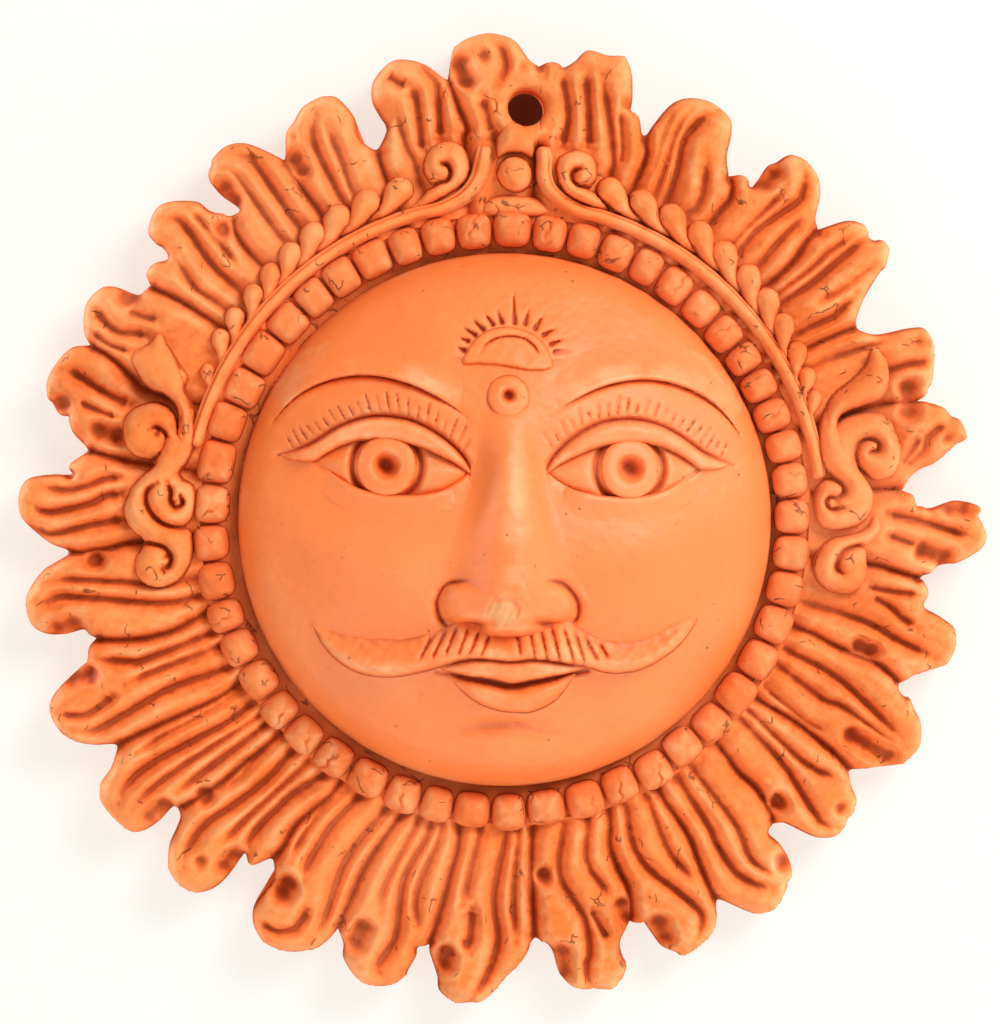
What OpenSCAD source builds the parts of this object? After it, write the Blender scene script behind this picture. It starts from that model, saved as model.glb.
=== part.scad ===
// Terracotta sun plaque for a wall: a scalloped clay slab carries a ring of flame tongues,
// a string of beads, two leafy vines with scrolls, and a hollow domed face with applied features.
// Every piece is a separate lump of clay, seated on the one below it with a film of slip.
//
// The plaque is drawn lying down, x to the right, y up the face and z out of the wall,
// and module upright() stands it up. Angles run clockwise from the top of the plaque.
// A reach is a distance outwards from the bead border.

/* [Slab] */
// Thickness of the backing slab
slab_t = 7; // [5:0.5:10]
// Film of slip between neighbouring pieces
slip_gap = 0.15; // [0.1:0.05:0.3]

/* [Hanging hole] */
// Diameter of the nail hole
hole_d = 9.5; // [7:0.5:11]
// Distance of the hole's middle outside the scroll seats
hole_out = 4.1; // [3:0.1:6]
// Angle of the hole from the top
hole_angle = 2.9; // [2:0.1:4]
// Clearance that the flames leave around the hole
hole_relief = 0.6; // [0.3:0.1:1]

/* [Face] */
// Radius of the face where it stands on the slab
face_r = 69; // [66:0.5:74]
// Radius of the rounded shoulder of the face
shoulder_r = 20; // [16:1:24]
// Radius of the crown of the face
crown_r = 105; // [95:1:130]
// Thickness of the hollow face
face_wall = 10; // [7:0.5:13]

/* [Bead border] */
// Number of beads
bead_count = 50; // [44:1:56]
// Width of the bead strip
bead_w = 8.4; // [7:0.2:10]
// Height of the strip that carries the beads
strip_h = 4; // [2:0.5:6]
// Gap between the face and the bead strip
bead_gap = 1.8; // [1:0.1:3]

/* [Flames] */
// Reach of the longest flame past the scroll seats
flame_len = 25.5; // [22:0.5:30]
// Height of a flame's edge above the slab
flame_edge = 3; // [2:0.5:4]
// Height of a flame's crest above its edge
flame_crown = 6.5; // [4:0.5:8]
// Depth of the grooves along a flame
groove_d = 2.4; // [1:0.2:4]
// Depth of the hollow under a curled tip
pit_d = 4; // [2:0.5:5]
// Height above the slab of the flat seats for leaves and scrolls
seat_h = 4.5; // [3.5:0.5:6]
// Rim that a seat leaves around what sits on it
seat_rim = 0.3; // [0.2:0.1:0.6]

/* [Vine] */
// Width of the vine's stem
stem_w = 4; // [3:0.2:5]
// Height of the stem above the slab
stem_h = 8; // [6:0.5:10]
// Radius of the stem's turn beside the crest
turn_r = 7.3; // [6.5:0.1:8]
// Leaves on each vine
leaf_count = 9; // [6:1:9]
// Length of a leaf
leaf_len = 11; // [9:0.5:11.5]
// Width of a leaf's head
leaf_w = 4.6; // [4:0.1:5]
// Reach of the leaves' heads past the stem
leaf_rise = 4.5; // [4:0.1:5]
// Angle between one leaf and the next
leaf_angle = 5.4; // [5.2:0.1:5.8]
// Slant of a leaf against the stem
leaf_slant = 20; // [18:1:24]

/* [Scrolls] */
// Height of the scrolls above their seat
scroll_h = 5; // [3:0.5:7]
// Half width of a scroll's cord
scroll_w = 1.4; // [1:0.1:1.5]
// Radius of the side scrolls at the middle of their cord
scroll_r = 5.4; // [5:0.1:6]
// Radius of the top scrolls at the middle of their cord
top_scroll_r = 4.6; // [4.2:0.1:5]
// Space between the upper side scrolls and the vine's stem
scroll_space = 4.4; // [4:0.1:5]
// Space between ornaments beside each other at the crest
crest_space = 1.5; // [1:0.1:2]
// Radius of the bead on the crest
crest_r = 4.6; // [4:0.1:5.2]
// Length of the petal above that bead
petal_len = 5.2; // [4:0.1:6]
// Half width of the petal
petal_w = 3.8; // [3:0.1:4.5]

/* [Eyes] */
// Distance of each eye from the middle of the face
eye_x = 29.5; // [28:0.5:32]
// Height of the eyes above the middle of the face
eye_y = 13.7; // [12:0.1:15]
// Width of the eye opening
eye_w = 36; // [33:0.5:38]
// Height of the eye opening
eye_h = 14.4; // [13:0.2:16]
// How far the eyeball bulges from the face
eye_bulge = 1.8; // [1.4:0.1:2.4]
// Width of the pupil hollow
pupil_d = 6; // [4:0.2:7]
// Height of the iris on the eyeball
iris_h = 1.3; // [0.8:0.1:2]
// Half width of the upper lid
lid_w = 2.6; // [2:0.1:3]
// Half width of the lower lid
lower_lid_w = 1.3; // [1:0.1:1.6]
// Height of the lids on the face
lid_h = 2.6; // [1.5:0.1:3.5]
// Length of the tail that the upper lid runs out into
lid_tail = 9.5; // [7:0.5:11]
// Height of the brow's peak above the eye
brow_rise = 26.3; // [24:0.1:28]
// Half width of the brow at its peak
brow_w = 3; // [2:0.1:3.5]
// Thickness of the brow on the face
brow_h = 2.2; // [1.5:0.1:3]
// Distance of the brow's outer end from the foot of the face
brow_inset = 6; // [5:0.5:10]

/* [Nose and mouth] */
// Height of the nose's lower end, below the middle of the face
nose_low = 25; // [23:0.5:27]
// Thickness of the nose at its tip
nose_h = 12.5; // [9:0.5:15]
// Half width of the nose across its wings
nose_w = 15; // [12:0.5:17]
// Drop from the nose to the middle of the moustache
moustache_drop = 5.4; // [5:0.1:7]
// Half length of the moustache
moustache_w = 47; // [42:0.5:50]
// Half width of the moustache at its fullest
moustache_fat = 4.6; // [4:0.1:5.2]
// Thickness of the moustache on the face
moustache_h = 5; // [3:0.5:6]
// Drop from the moustache to the upper lip
lip_drop = 7.8; // [7.4:0.1:9]
// Drop from the upper lip to the lower one
lip_part = 6; // [5.8:0.1:7]
// Half length of the upper lip
lip_w = 17; // [15:0.5:19]
// Half width of the upper lip
upper_lip_w = 2; // [1.6:0.1:2.2]
// Half width of the lower lip
lower_lip_w = 3.2; // [2.6:0.1:3.4]
// Thickness of the lips on the face
lip_h = 3.6; // [2.5:0.1:4.5]

/* [Forehead mark] */
// Radius of the rising sun mark
mark_r = 10.5; // [9:0.5:12]
// Distance of the mark's base line below the top of the face
mark_drop = 29; // [27:0.1:30]
// Thickness of the mark on the face
mark_h = 1.8; // [1:0.1:2.5]
// Number of rays around the mark
ray_count = 13; // [9:1:15]
// Length of a ray
ray_len = 4.2; // [3:0.2:6]
// Radius of the round dot below the mark
dot_r = 5; // [4:0.2:6]
// Space between the mark and the dot, and between the dot and the nose
dot_space = 2.5; // [2:0.1:3.5]

/* [Hidden] */
$fn = 240;
clay = "#e0763c";
clay_dark = "#c9602c";
clay_light = "#ec8a50";
far = 300;
// Depth below the surface at which a feature of the face starts, before the face is cut out of it
sink = 4;

// Rings of the plan, from the middle outwards
opening_r = face_r - face_wall;
strip_in = face_r + bead_gap;
strip_out = strip_in + bead_w;
rim_r = strip_out + slip_gap;
bead_r = bead_w / 2;
bead_end_r = bead_r * 0.62;
bead_len = 2 * (strip_in + bead_r - bead_end_r) * tan(180 / bead_count) - slip_gap;
stem_mid = rim_r + stem_w / 2;
stem_reach = stem_w + slip_gap;
seat_z = slab_t + seat_h;

// Reaches of the ornaments and of the seats that carry them
leaf_reach = stem_reach + leaf_rise;
leaf_seat = leaf_reach + leaf_w / 2;
scroll_reach = stem_reach + scroll_space + scroll_w + scroll_r;
scroll_seat = scroll_reach + scroll_r + scroll_w + seat_rim;
low_scroll_r = scroll_r + 0.8;
low_scroll_reach = low_scroll_r + scroll_w + seat_rim;
crest_reach = stem_reach + crest_r + slip_gap;
top_scroll_reach = stem_reach + top_scroll_r + scroll_w + slip_gap;

// Distances of the crest's neighbours from the plaque's upright axis, and the angles that give them
turn_x = crest_r + crest_space + stem_w / 2;
turn_a = asin((turn_x + turn_r) / (stem_mid + turn_r));
top_scroll_x = turn_x + stem_w / 2 + crest_space + top_scroll_r + scroll_w;
top_scroll_a = asin(top_scroll_x / (rim_r + top_scroll_reach));
leaf_x = top_scroll_x + top_scroll_r + scroll_w + 2 * crest_space;
leaf_a = asin(leaf_x / (rim_r + leaf_reach));

// Centres of the two arcs of the face's profile
shoulder_x = face_r - shoulder_r;
crown_tilt = asin(shoulder_x / (crown_r - shoulder_r));
crown_z = slab_t - (crown_r - shoulder_r) * cos(crown_tilt);
crown_edge = crown_r * sin(crown_tilt);

// Radius of the two arcs that bound the eye, and how far their middles lie from the eye's middle
eye_arc = (eye_w * eye_w / 4 + eye_h * eye_h / 4) / eye_h;
eye_drop = eye_arc - eye_h / 2;
eye_ball_r = 60;
iris_r = eye_h / 2 - 2 * slip_gap - 0.5;

// Heights of the features down the middle of the face
mark_y = face_r - mark_drop;
dot_y = mark_y - dot_space - dot_r;
nose_top = dot_y - dot_r - dot_space;
moustache_y = -nose_low - moustache_drop;
upper_lip_y = moustache_y - lip_drop;
lower_lip_y = upper_lip_y - lip_part;

// One row per flame, clockwise from the top: angle of its left root, angle and reach of its left notch,
// its left shoulder, its tip and its right shoulder, the side its tip curls to, and its seat
// (0 for none, 1 for leaves, 2 for scrolls). These reaches start at the scroll seats' outer line and are
// in hundredths of the longest flame.
FLAMES = [
    [-6.8, -7.3, 47, -6.4, 71, -2, 93, 2.2, 79, -1, 2],
    [5, 4.2, 61, 9, 71, 12.5, 85, 16.2, 60, 0, 2],
    [20.7, 20, 15, 21.8, 52, 26.5, 73, 30.8, 52, 1, 1],
    [34.6, 34.8, 16, 36.8, 50, 40, 76, 44.5, 57, -1, 1],
    [48, 47, 33, 49, 62, 54, 79, 57.2, 51, 1, 1],
    [60.2, 61.5, 7, 64.8, 50, 67, 74, 71.5, 58, 1, 2],
    [73, 74, 38, 76, 64, 79.2, 80, 82.2, 47, 1, 2],
    [85, 85.6, 8, 88, 60, 91.8, 92, 95, 55, -1, 2],
    [97, 98.8, 33, 102.5, 57, 106, 80, 109.5, 58, -1, 2],
    [110.3, 112.3, 36, 115, 65, 119, 83, 123, 66, 1, 0],
    [125.5, 126, 35, 128.3, 57, 132.5, 69, 135.8, 45, -1, 0],
    [136.5, 138.6, 13, 140, 53, 145, 83, 149, 60, -1, 0],
    [150.5, 151.2, 45, 153, 67, 157, 82, 160.2, 57, 1, 0],
    [160, 163, 24, 165, 65, 167.5, 91, 172.5, 65, 1, 0],
    [174.5, 175.7, 27, 179.2, 61, 184.5, 94, 188.5, 65, 1, 0],
    [188.5, 190.2, 42, 192, 70, 196.3, 93, 200.8, 67, 1, 0],
    [198.5, 202.3, 49, 204.5, 77, 209.5, 95, 213.1, 65, 1, 0],
    [212, 215, 19, 217.9, 60, 221.5, 97, 226.2, 67, -1, 0],
    [226.5, 228.3, 44, 229, 73, 233, 99, 237.3, 75, -1, 0],
    [238.5, 240, 55, 242, 79, 246.5, 100, 250.3, 71, 1, 0],
    [253, 253.8, 29, 255.5, 65, 259.5, 94, 264, 69, -1, 2],
    [266.5, 266, 43, 268, 69, 272.3, 93, 276, 63, 1, 2],
    [279, 279.8, 26, 283.6, 63, 287.3, 84, 291.5, 69, -1, 2],
    [291, 293.2, 55, 295.2, 70, 298, 77, 301.3, 53, 1, 2],
    [304, 304.3, 29, 308.4, 52, 311.7, 73, 315.8, 52, -1, 1],
    [316.5, 318.3, 13, 319, 50, 322.5, 73, 326.6, 52, -1, 1],
    [329, 328.6, 27, 331, 54, 336.2, 68, 339.4, 41, 1, 1],
    [341, 340.6, 4, 343, 53, 347.3, 79, 351.3, 65, -1, 2],
];
flame_count = len(FLAMES);

// The flames that start behind the vine's stem run clockwise from the first of these to the second
stem_first = 22;
stem_last = 6;

// Places across a flame: edges, crests and grooves by turns
ACROSS = [0, 0.13, 0.26, 0.38, 0.5, 0.62, 0.74, 0.87, 1];
// How much of its crown a flame shows, row by row from its root to its tip
RISE = [0.5, 0.75, 0.95, 1, 1, 1, 1, 0.95, 0.8, 0.45];
// Stations along the half of a flame's outline from a notch towards the tip
OUTLINE = [0, 0.4, 0.8, 1.2, 1.6, 1.9];
// Cross-sections of cords, by place across and share of the height
ROUND = [[-1, 0], [-0.8, 0.6], [-0.4, 0.92], [0, 1], [0.4, 0.92], [0.8, 0.6], [1, 0]];
TWIN = [[-1, 0], [-1, 0.85], [-0.55, 1], [-0.2, 0.97], [0, 0.8], [0.2, 0.97], [0.55, 1], [1, 0.85], [1, 0]];

function flame_name(i) = str("flame_", i < 9 ? "0" : "", i + 1);

function mix(a, b, t) = a + (b - a) * t;
function polar(a, r) = [r * sin(a), r * cos(a)];
function ring_point(a, reach) = polar(a, rim_r + reach);

// Catmull-Rom spline through rows of numbers, with a number of steps between one row and the next
function spline_between(p, q, r, s, t) =
    (2 * q + (r - p) * t + (2 * p - 5 * q + 4 * r - s) * t * t + (3 * q - p - 3 * r + s) * t * t * t) / 2;
function spline_at(rows, t) =
    let (last = len(rows) - 1, i = min(floor(t), last - 1))
    spline_between(rows[max(i - 1, 0)], rows[i], rows[i + 1], rows[min(i + 2, last)], t - i);
function spline(rows, steps) =
    [for (k = [0 : (len(rows) - 1) * steps]) spline_at(rows, k / steps)];

// Rows for a cord given by angle, reach, half width and height
function on_ring(rows) =
    [for (row = rows) concat(ring_point(row[0], row[1]), [row[2], row[3]])];

// Height of the outside of the face above a point of the plan
function dome_z(p) =
    let (r = min(norm(p), face_r))
    r <= crown_edge
        ? crown_z + sqrt(crown_r * crown_r - r * r)
        : slab_t + sqrt(max(shoulder_r * shoulder_r - pow(r - shoulder_x, 2), 0));

// Flames in angle and reach

// A flame's row, where the flame after the last is the first, one turn on
function flame(i) = [
    for (k = [0 : len(FLAMES[0]) - 1])
        FLAMES[i % flame_count][k] + (i >= flame_count && k < 2 ? 360 : 0)
];
function flame_reach(share) = scroll_seat + flame_len * share / 100;
function notch(i) = [flame(i)[1], flame_reach(flame(i)[2])];
function outline_rows(i) =
    let (f = flame(i))
    concat([notch(i)], [for (k = [3 : 2 : 7]) [f[k], flame_reach(f[k + 1])]], [notch(i + 1)]);
function left_side(i) = [for (s = OUTLINE) spline_at(outline_rows(i), s)];
function right_side(i) = [for (s = OUTLINE) spline_at(outline_rows(i), 4 - s)];

function seat_kind(i) = FLAMES[i][10];
function curl_side(i) = FLAMES[i][9];
function behind_stem(i) = i >= stem_first || i <= stem_last;
function root_reach(i) = behind_stem(i) ? stem_reach : 0;
function seat_reach(i) =
    seat_kind(i) == 0 ? root_reach(i) + seat_rim : seat_kind(i) == 1 ? leaf_seat : scroll_seat;

// Point of a flame's left border, held off by half the film of slip on the given side
function border(i, reach, side) =
    [mix(flame(i)[0], notch(i)[0], reach / notch(i)[1]) + side * slip_gap / (rim_r + reach) * 90 / PI, reach];
// Left and right ends of the rows of a flame, from its root to its tip
function flame_rows(i) =
    let (
        seat = seat_reach(i),
        left = left_side(i),
        right = right_side(i),
        ends = function(x, y) [border(i, x, 1), border(i + 1, y, -1)]
    )
    concat(
        [ends(root_reach(i), root_reach(i))],
        [for (s = [0, 1 / 3, 2 / 3, 1]) ends(mix(seat, notch(i)[1], s), mix(seat, notch(i + 1)[1], s))],
        [for (k = [1 : len(OUTLINE) - 1]) [left[k], right[k]]]
    );

function is_edge(k) = k == 0 || k == len(ACROSS) - 1;
function is_groove(k) = !is_edge(k) && k % 2 == 0;
// The hollow under the curl lies beside the notch, on the side of the curl
function is_pit(i, row, k) =
    let (middle = curl_side(i) < 0 ? 1 : len(ACROSS) - 2)
    curl_side(i) != 0 && !is_edge(k) && abs(k - middle) <= 1 && (row == 4 || row == 5);
function flame_z(i, row, k) =
    seat_kind(i) > 0 && row < 2
        ? seat_z
        : slab_t + flame_edge + (is_edge(k) ? 0 : flame_crown * RISE[row])
            - (is_groove(k) ? groove_d * RISE[row] : 0) - (is_pit(i, row, k) ? pit_d : 0);
function flame_ring(i, row, ends) =
    let (place = function(u) ring_point(mix(ends[0][0], ends[1][0], u), mix(ends[0][1], ends[1][1], u)))
    concat(
        [concat(place(0.5), slab_t), concat(place(0), slab_t)],
        [for (k = [0 : len(ACROSS) - 1]) concat(place(ACROSS[k]), flame_z(i, row, k))],
        [concat(place(1), slab_t)]
    );

// Outline of the slab: the outer sides of all the flames in turn
function slab_outline() = [
    for (i = [0 : flame_count - 1])
        let (left = left_side(i), right = right_side(i))
        for (p = concat(left, [for (k = [len(OUTLINE) - 1 : -1 : 1]) right[k]])) ring_point(p[0], p[1])
];

// Solids from rings

// Closed solid through rings of equal length, each fanned from its first point at the two ends
module skin(rings) {
    n = len(rings[0]);
    last = len(rings) - 1;
    points = [for (ring = rings) for (p = ring) p];
    sides = [
        for (i = [0 : last - 1])
            for (j = [0 : n - 1])
                let (a = i * n + j, b = i * n + (j + 1) % n)
                for (t = [[a, b, a + n], [b, b + n, a + n]]) t
    ];
    caps = [
        for (j = [1 : n - 2])
            for (t = [[0, j + 1, j], [last * n, last * n + j, last * n + j + 1]]) t
    ];
    polyhedron(points, concat(sides, caps));
}

// Cord along rows of x, y, half width and more. The profile turns a row into places across and heights,
// the ground gives the height under a point, and the lows are places of the underside beside its middle.
module cord(rows, profile, ground, lows) {
    last = len(rows) - 1;
    skin([
        for (i = [0 : last])
            let (
                row = rows[i],
                ahead = rows[min(i + 1, last)] - rows[max(i - 1, 0)],
                along = [ahead[0], ahead[1]] / norm([ahead[0], ahead[1]]),
                at = function(s) [row[0], row[1]] + [along[1], -along[0]] * row[2] * s,
                on = function(s, h) concat(at(s), ground(at(s)) + h)
            )
            concat(
                [for (s = concat([0], lows)) on(-s, 0)],
                [for (c = profile(row)) on(c[0], c[1])],
                [for (k = [len(lows) - 1 : -1 : 0]) on(lows[k], 0)]
            )
    ]);
}
function share_profile(section) = function(row) [for (c = section) [c[0], c[1] * row[3]]];
module cord_on_seat(rows) cord(rows, share_profile(ROUND), function(p) seat_z, []);
module cord_on_face(rows) cord(rows, share_profile(ROUND), function(p) dome_z(p), [0.5]);

module upright() rotate([90, 0, 0]) children();
module on_left() mirror([1, 0, 0]) children();

// Half of a solid of revolution that lies on its flat side with its axis along x
module lying_half() rotate([90, 0, 90]) rotate_extrude(angle = 180) children();

// Carries a feature to the crown of the face, above a point of the plan and square to the surface
module on_crown(x, y) {
    lift = sqrt(crown_r * crown_r - x * x - y * y);
    translate([0, 0, crown_z])
        rotate([-asin(y / crown_r), atan2(x, lift), 0])
            translate([0, 0, crown_r]) children();
}

// Profile of the face, brought inwards by a wall
module dome_profile(wall) {
    intersection() {
        translate([0, crown_z]) circle(crown_r - wall);
        polygon([[0, crown_z], [far * sin(crown_tilt), crown_z + far * cos(crown_tilt)], [0, crown_z + far]]);
        translate([0, slab_t]) square(far);
    }
    intersection() {
        translate([shoulder_x, slab_t]) circle(shoulder_r - wall);
        translate([0, slab_t]) square(far);
    }
}
module dome(wall) rotate_extrude() dome_profile(wall);

module nail_hole(relief)
    translate(concat(ring_point(hole_angle, scroll_seat + hole_out), -1))
        cylinder(d = hole_d + 2 * relief, h = far);

// Pieces of the ground: slab, face, beads and flames

module back_slab() color(clay) upright() difference() {
    linear_extrude(slab_t) polygon(slab_outline());
    translate([0, 0, -1]) cylinder(r = opening_r, h = slab_t + 2);
    nail_hole(0);
}

module face_shell() color(clay) upright() difference() {
    dome(0);
    dome(face_wall);
}

module bead_strip() color(clay_dark) upright() translate([0, 0, slab_t]) difference() {
    cylinder(r = strip_out, h = strip_h);
    translate([0, 0, -1]) cylinder(r = strip_in, h = strip_h + 2);
}

// Barrel bead, flat below, with a belly of its own radius
module bead() {
    belly = bead_r - bead_end_r;
    belly_r = (bead_len * bead_len / 4 + belly * belly) / (2 * belly);
    lying_half() intersection() {
        translate([bead_r - belly_r, 0]) circle(belly_r);
        translate([0, -bead_len / 2]) square([bead_r, bead_len]);
    }
}
module beads() color(clay_light) upright()
    for (i = [0 : bead_count - 1])
        rotate(-360 * (i + 0.5) / bead_count)
            translate([0, strip_in + bead_r, slab_t + strip_h]) bead();

module flame_tongue(i) {
    rows = flame_rows(i);
    crosses_hole = i < 2;
    color(clay) upright() difference() {
        skin([for (row = [0 : len(rows) - 1]) flame_ring(i, row, rows[row])]);
        if (crosses_hole) nail_hole(hole_relief);
    }
}

// Vines: stem, leaves and the scrolls that end them

// Stem along the bead border to an end angle, turned outwards beside the crest
module vine_stem(end_a) color(clay_light) upright() {
    steps = 18;
    turn_steps = 5;
    centre = polar(turn_a, stem_mid + turn_r);
    along = [for (k = [0 : steps - 1]) polar(mix(end_a, turn_a, k / steps), stem_mid)];
    turn = [for (k = [0 : turn_steps]) centre + polar(turn_a + 180 + 90 * k / turn_steps, turn_r)];
    rows = [for (p = concat(along, turn)) concat(p, [stem_w / 2, stem_h])];
    cord(rows, share_profile(TWIN), function(p) slab_t, []);
}

// Half teardrop, from its tail to its head along x
module leaf() {
    steps = 8;
    lying_half() polygon([
        for (k = [0 : steps])
            let (q = 180 * k / steps)
            [leaf_w / 2 * 1.1 * sin(q) * pow(sin(q / 2), 1.5), leaf_len * (1 - cos(q)) / 2]
    ]);
}
module vine_leaves() color(clay_light) upright()
    for (i = [0 : leaf_count - 1]) {
        a = leaf_a + i * leaf_angle;
        translate(concat(ring_point(a, leaf_reach), seat_z))
            rotate(180 - a - leaf_slant) translate([-leaf_len, 0, 0]) leaf();
    }

// Spiral rows about a middle, given by angle and reach, from one bearing to another, drawing in from r0 to r1
function spiral(middle, from, to, r0, r1, w0, w1) =
    let (steps = ceil(abs(to - from) / 24), centre = ring_point(middle[0], middle[1]))
    [
        for (k = [0 : steps])
            let (t = k / steps)
            concat(
                centre + polar(middle[0] + mix(from, to, t), mix(r0, r1, t)),
                [mix(w0, w1, t), scroll_h * mix(0.8, 1, t)]
            )
    ];
// Radius at which a spiral's inner end leaves only its eye
spiral_end = 1.6;

module top_scroll() color(clay_light) upright() {
    foot = top_scroll_reach - top_scroll_r;
    lead = on_ring([[top_scroll_a + 5.5, foot + 0.5, 0.5, 1], [top_scroll_a + 2.7, foot + 0.1, 1, 3]]);
    curl = spiral([top_scroll_a, top_scroll_reach], 180, 560, top_scroll_r, spiral_end, scroll_w, scroll_w);
    cord_on_seat(concat(lead, curl));
}

module crest_collar() color(clay_light) upright() translate([0, 0, slab_t]) {
    half_a = asin((turn_x - stem_w / 2 - slip_gap) / stem_mid);
    rotate(90 - half_a) rotate_extrude(angle = 2 * half_a) translate([rim_r, 0]) {
        square([stem_w, stem_h]);
        translate([stem_w / 2, stem_h]) circle(stem_w / 2);
    }
}
module crest_bead() color(clay_light) upright() difference() {
    translate([0, rim_r + crest_reach, seat_z + 1]) sphere(crest_r);
    translate([-far, -far, seat_z - far]) cube([2 * far, 2 * far, far]);
}
module crest_petal() color(clay_light) upright() {
    foot = crest_reach + crest_r + slip_gap;
    rows = [[0, 1, 0.6], [0.42, 1, 0.84], [1, 0.26, 0.52]];
    cord_on_seat(spline(on_ring(
        [for (r = rows) [0, foot + r[0] * petal_len, r[1] * petal_w, r[2] * scroll_h]]), 3));
}

module side_leaf() color(clay_light) upright() {
    tip = scroll_seat - seat_rim;
    foot = stem_reach + 2.4;
    rows = [
        [66.8, 1, 0.8, 2], [67.6, 0.81, 3.2, 4.5], [69.6, 0.51, 3.5, 5],
        [72.6, 0.2, 2.6, 4.5], [77, 0, 1.2, 3],
    ];
    cord_on_seat(spline(on_ring([for (r = rows) [r[0], mix(foot, tip, r[1]), r[2], r[3]]]), 3));
}

module side_scroll_upper() color(clay_light) upright() {
    foot = scroll_reach - scroll_r;
    lead = spline(on_ring([
        [80.5, foot - 3.8, 0.8, 3], [77, foot - 2, scroll_w, 4], [75.6, foot + 1.6, scroll_w, 4]]), 3);
    curl = spiral([79.6, scroll_reach], -90, 320, scroll_r, spiral_end, scroll_w, scroll_w);
    cord_on_seat(concat(lead, curl));
}

module side_scroll_lower() color(clay_light) upright() {
    knee = low_scroll_reach + 6.6;
    lead = spline(on_ring([
        [82.6, knee - 8.4, 0.8, 3], [84.4, knee - 2.4, scroll_w, 4], [88, knee, scroll_w, 4.4],
        [91.6, knee - 2.4, scroll_w, 4.4], [93.6, knee - 5.2, scroll_w, 4]]), 3);
    curl = spiral([98.4, low_scroll_reach], -90, -500, low_scroll_r, spiral_end, scroll_w, scroll_w);
    cord_on_seat(concat(lead, curl));
    cord_on_seat(spiral([87, knee - 7.4], 120, 400, scroll_r / 2, 1.1, 1, 1));
}

// Features of the face

module eye_opening() intersection() {
    translate([eye_x, eye_y - eye_drop]) circle(eye_arc);
    translate([eye_x, eye_y + eye_drop]) circle(eye_arc);
}
module eye_sphere() on_crown(eye_x, eye_y) translate([0, 0, eye_bulge - eye_ball_r]) sphere(eye_ball_r);
module eyeball() color(clay_light) upright() difference() {
    intersection() {
        translate([0, 0, slab_t]) linear_extrude(far) eye_opening();
        eye_sphere();
    }
    dome(0);
}
module iris() color(clay) upright() difference() {
    on_crown(eye_x, eye_y) translate([0, 0, -sink]) difference() {
        cylinder(r = iris_r, h = sink + eye_bulge + iris_h);
        translate([0, 0, -1]) cylinder(d = pupil_d, h = far);
    }
    eye_sphere();
}

// Rows along one of the eye's arcs, held off it by a distance, from the inner to the outer corner
function lid_arc(side, off, w, h) =
    let (half = asin(eye_w / 2 / eye_arc), steps = 8, r = eye_arc + off)
    [
        for (k = [0 : steps])
            let (q = mix(-half, half, k / steps), swell = mix(0.35, 1, sin(180 * k / steps)))
            [eye_x + r * sin(q), eye_y + side * (r * cos(q) - eye_drop), w * swell, h * swell]
    ];
module eyelids() color(clay_light) upright() {
    corner = [eye_x + eye_w / 2, eye_y + lid_w];
    tail = [
        [corner[0] + lid_tail / 2, corner[1], lid_w / 2, lid_h / 2],
        [corner[0] + lid_tail, corner[1], lid_w / 5, lid_h / 5],
    ];
    cord_on_face(concat(lid_arc(1, lid_w + slip_gap, lid_w, lid_h), tail));
    cord_on_face(lid_arc(-1, lower_lid_w + slip_gap, lower_lid_w, lid_h / 2));
}

// Brow from beside the nose over its peak to an outer end on the shoulder of the face. A row gives the share
// of the way from the peak to an end, the rise above that straight line, and shares of width and height.
module brow() color(clay_light) upright() {
    peak = [eye_x + 3.5, eye_y + brow_rise];
    inner = [eye_x - 21, eye_y + brow_rise - 12];
    outer = polar(64.5, face_r - brow_inset);
    in_rows = [[1, 0, 0.33, 0.5], [0.57, 2.8, 0.8, 1], [0, 0, 1, 1]];
    out_rows = [[0.58, 3.6, 0.8, 1], [1, 0, 0.27, 0.35]];
    place = function(r, end) concat(mix(peak, end, r[0]) + [0, r[1]], [r[2] * brow_w, r[3] * brow_h]);
    rows = concat([for (r = in_rows) place(r, inner)], [for (r = out_rows) place(r, outer)]);
    cord_on_face(spline(rows, 5));
}

// Nose, in rows down the face: share of its length, share of its half width, and shares of its height
// along the ridge, beside it, in the crease and over the wing
module nose() color(clay_light) upright() {
    rows = [
        [0, 0.24, 0.07, 0.06, 0.03, 0.02], [0.26, 0.33, 0.4, 0.3, 0.15, 0.06],
        [0.54, 0.5, 0.68, 0.5, 0.22, 0.1], [0.72, 0.74, 0.9, 0.7, 0.32, 0.22],
        [0.84, 1, 1, 0.86, 0.5, 0.44], [0.93, 0.94, 0.94, 0.8, 0.46, 0.4], [1, 0.6, 0.5, 0.4, 0.25, 0.15],
    ];
    places = [0, 0.3, 0.55, 0.8];
    profile = function(row) concat(
        [[-1, 0]],
        [for (k = [3 : -1 : 0]) [-places[k], nose_h * row[3 + k]]],
        [for (k = [1 : 3]) [places[k], nose_h * row[3 + k]]],
        [[1, 0]]
    );
    path = [for (r = rows) [0, mix(nose_top, -nose_low, r[0]), nose_w * r[1], r[2], r[3], r[4], r[5]]];
    cord(spline(path, 2), profile, function(p) dome_z(p), [0.5]);
}

// Moustache in rows outwards: shares of its half length, and of its half width for its drop and its width,
// and of its thickness
module moustache() color(clay_light) upright() {
    half = [[0.38, -0.13, 1, 1], [0.63, -0.96, 0.96, 0.9], [0.83, -0.3, 0.7, 0.7], [1, 1.07, 0.13, 0.16]];
    other = [for (k = [len(half) - 1 : -1 : 0]) [-half[k][0], half[k][1], half[k][2], half[k][3]]];
    rows = [
        for (r = concat(other, [[0, 0, 0.7, 1.1]], half))
            [r[0] * moustache_w, moustache_y + r[1] * moustache_fat, r[2] * moustache_fat, r[3] * moustache_h]
    ];
    cord_on_face(spline(rows, 3));
}

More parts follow.
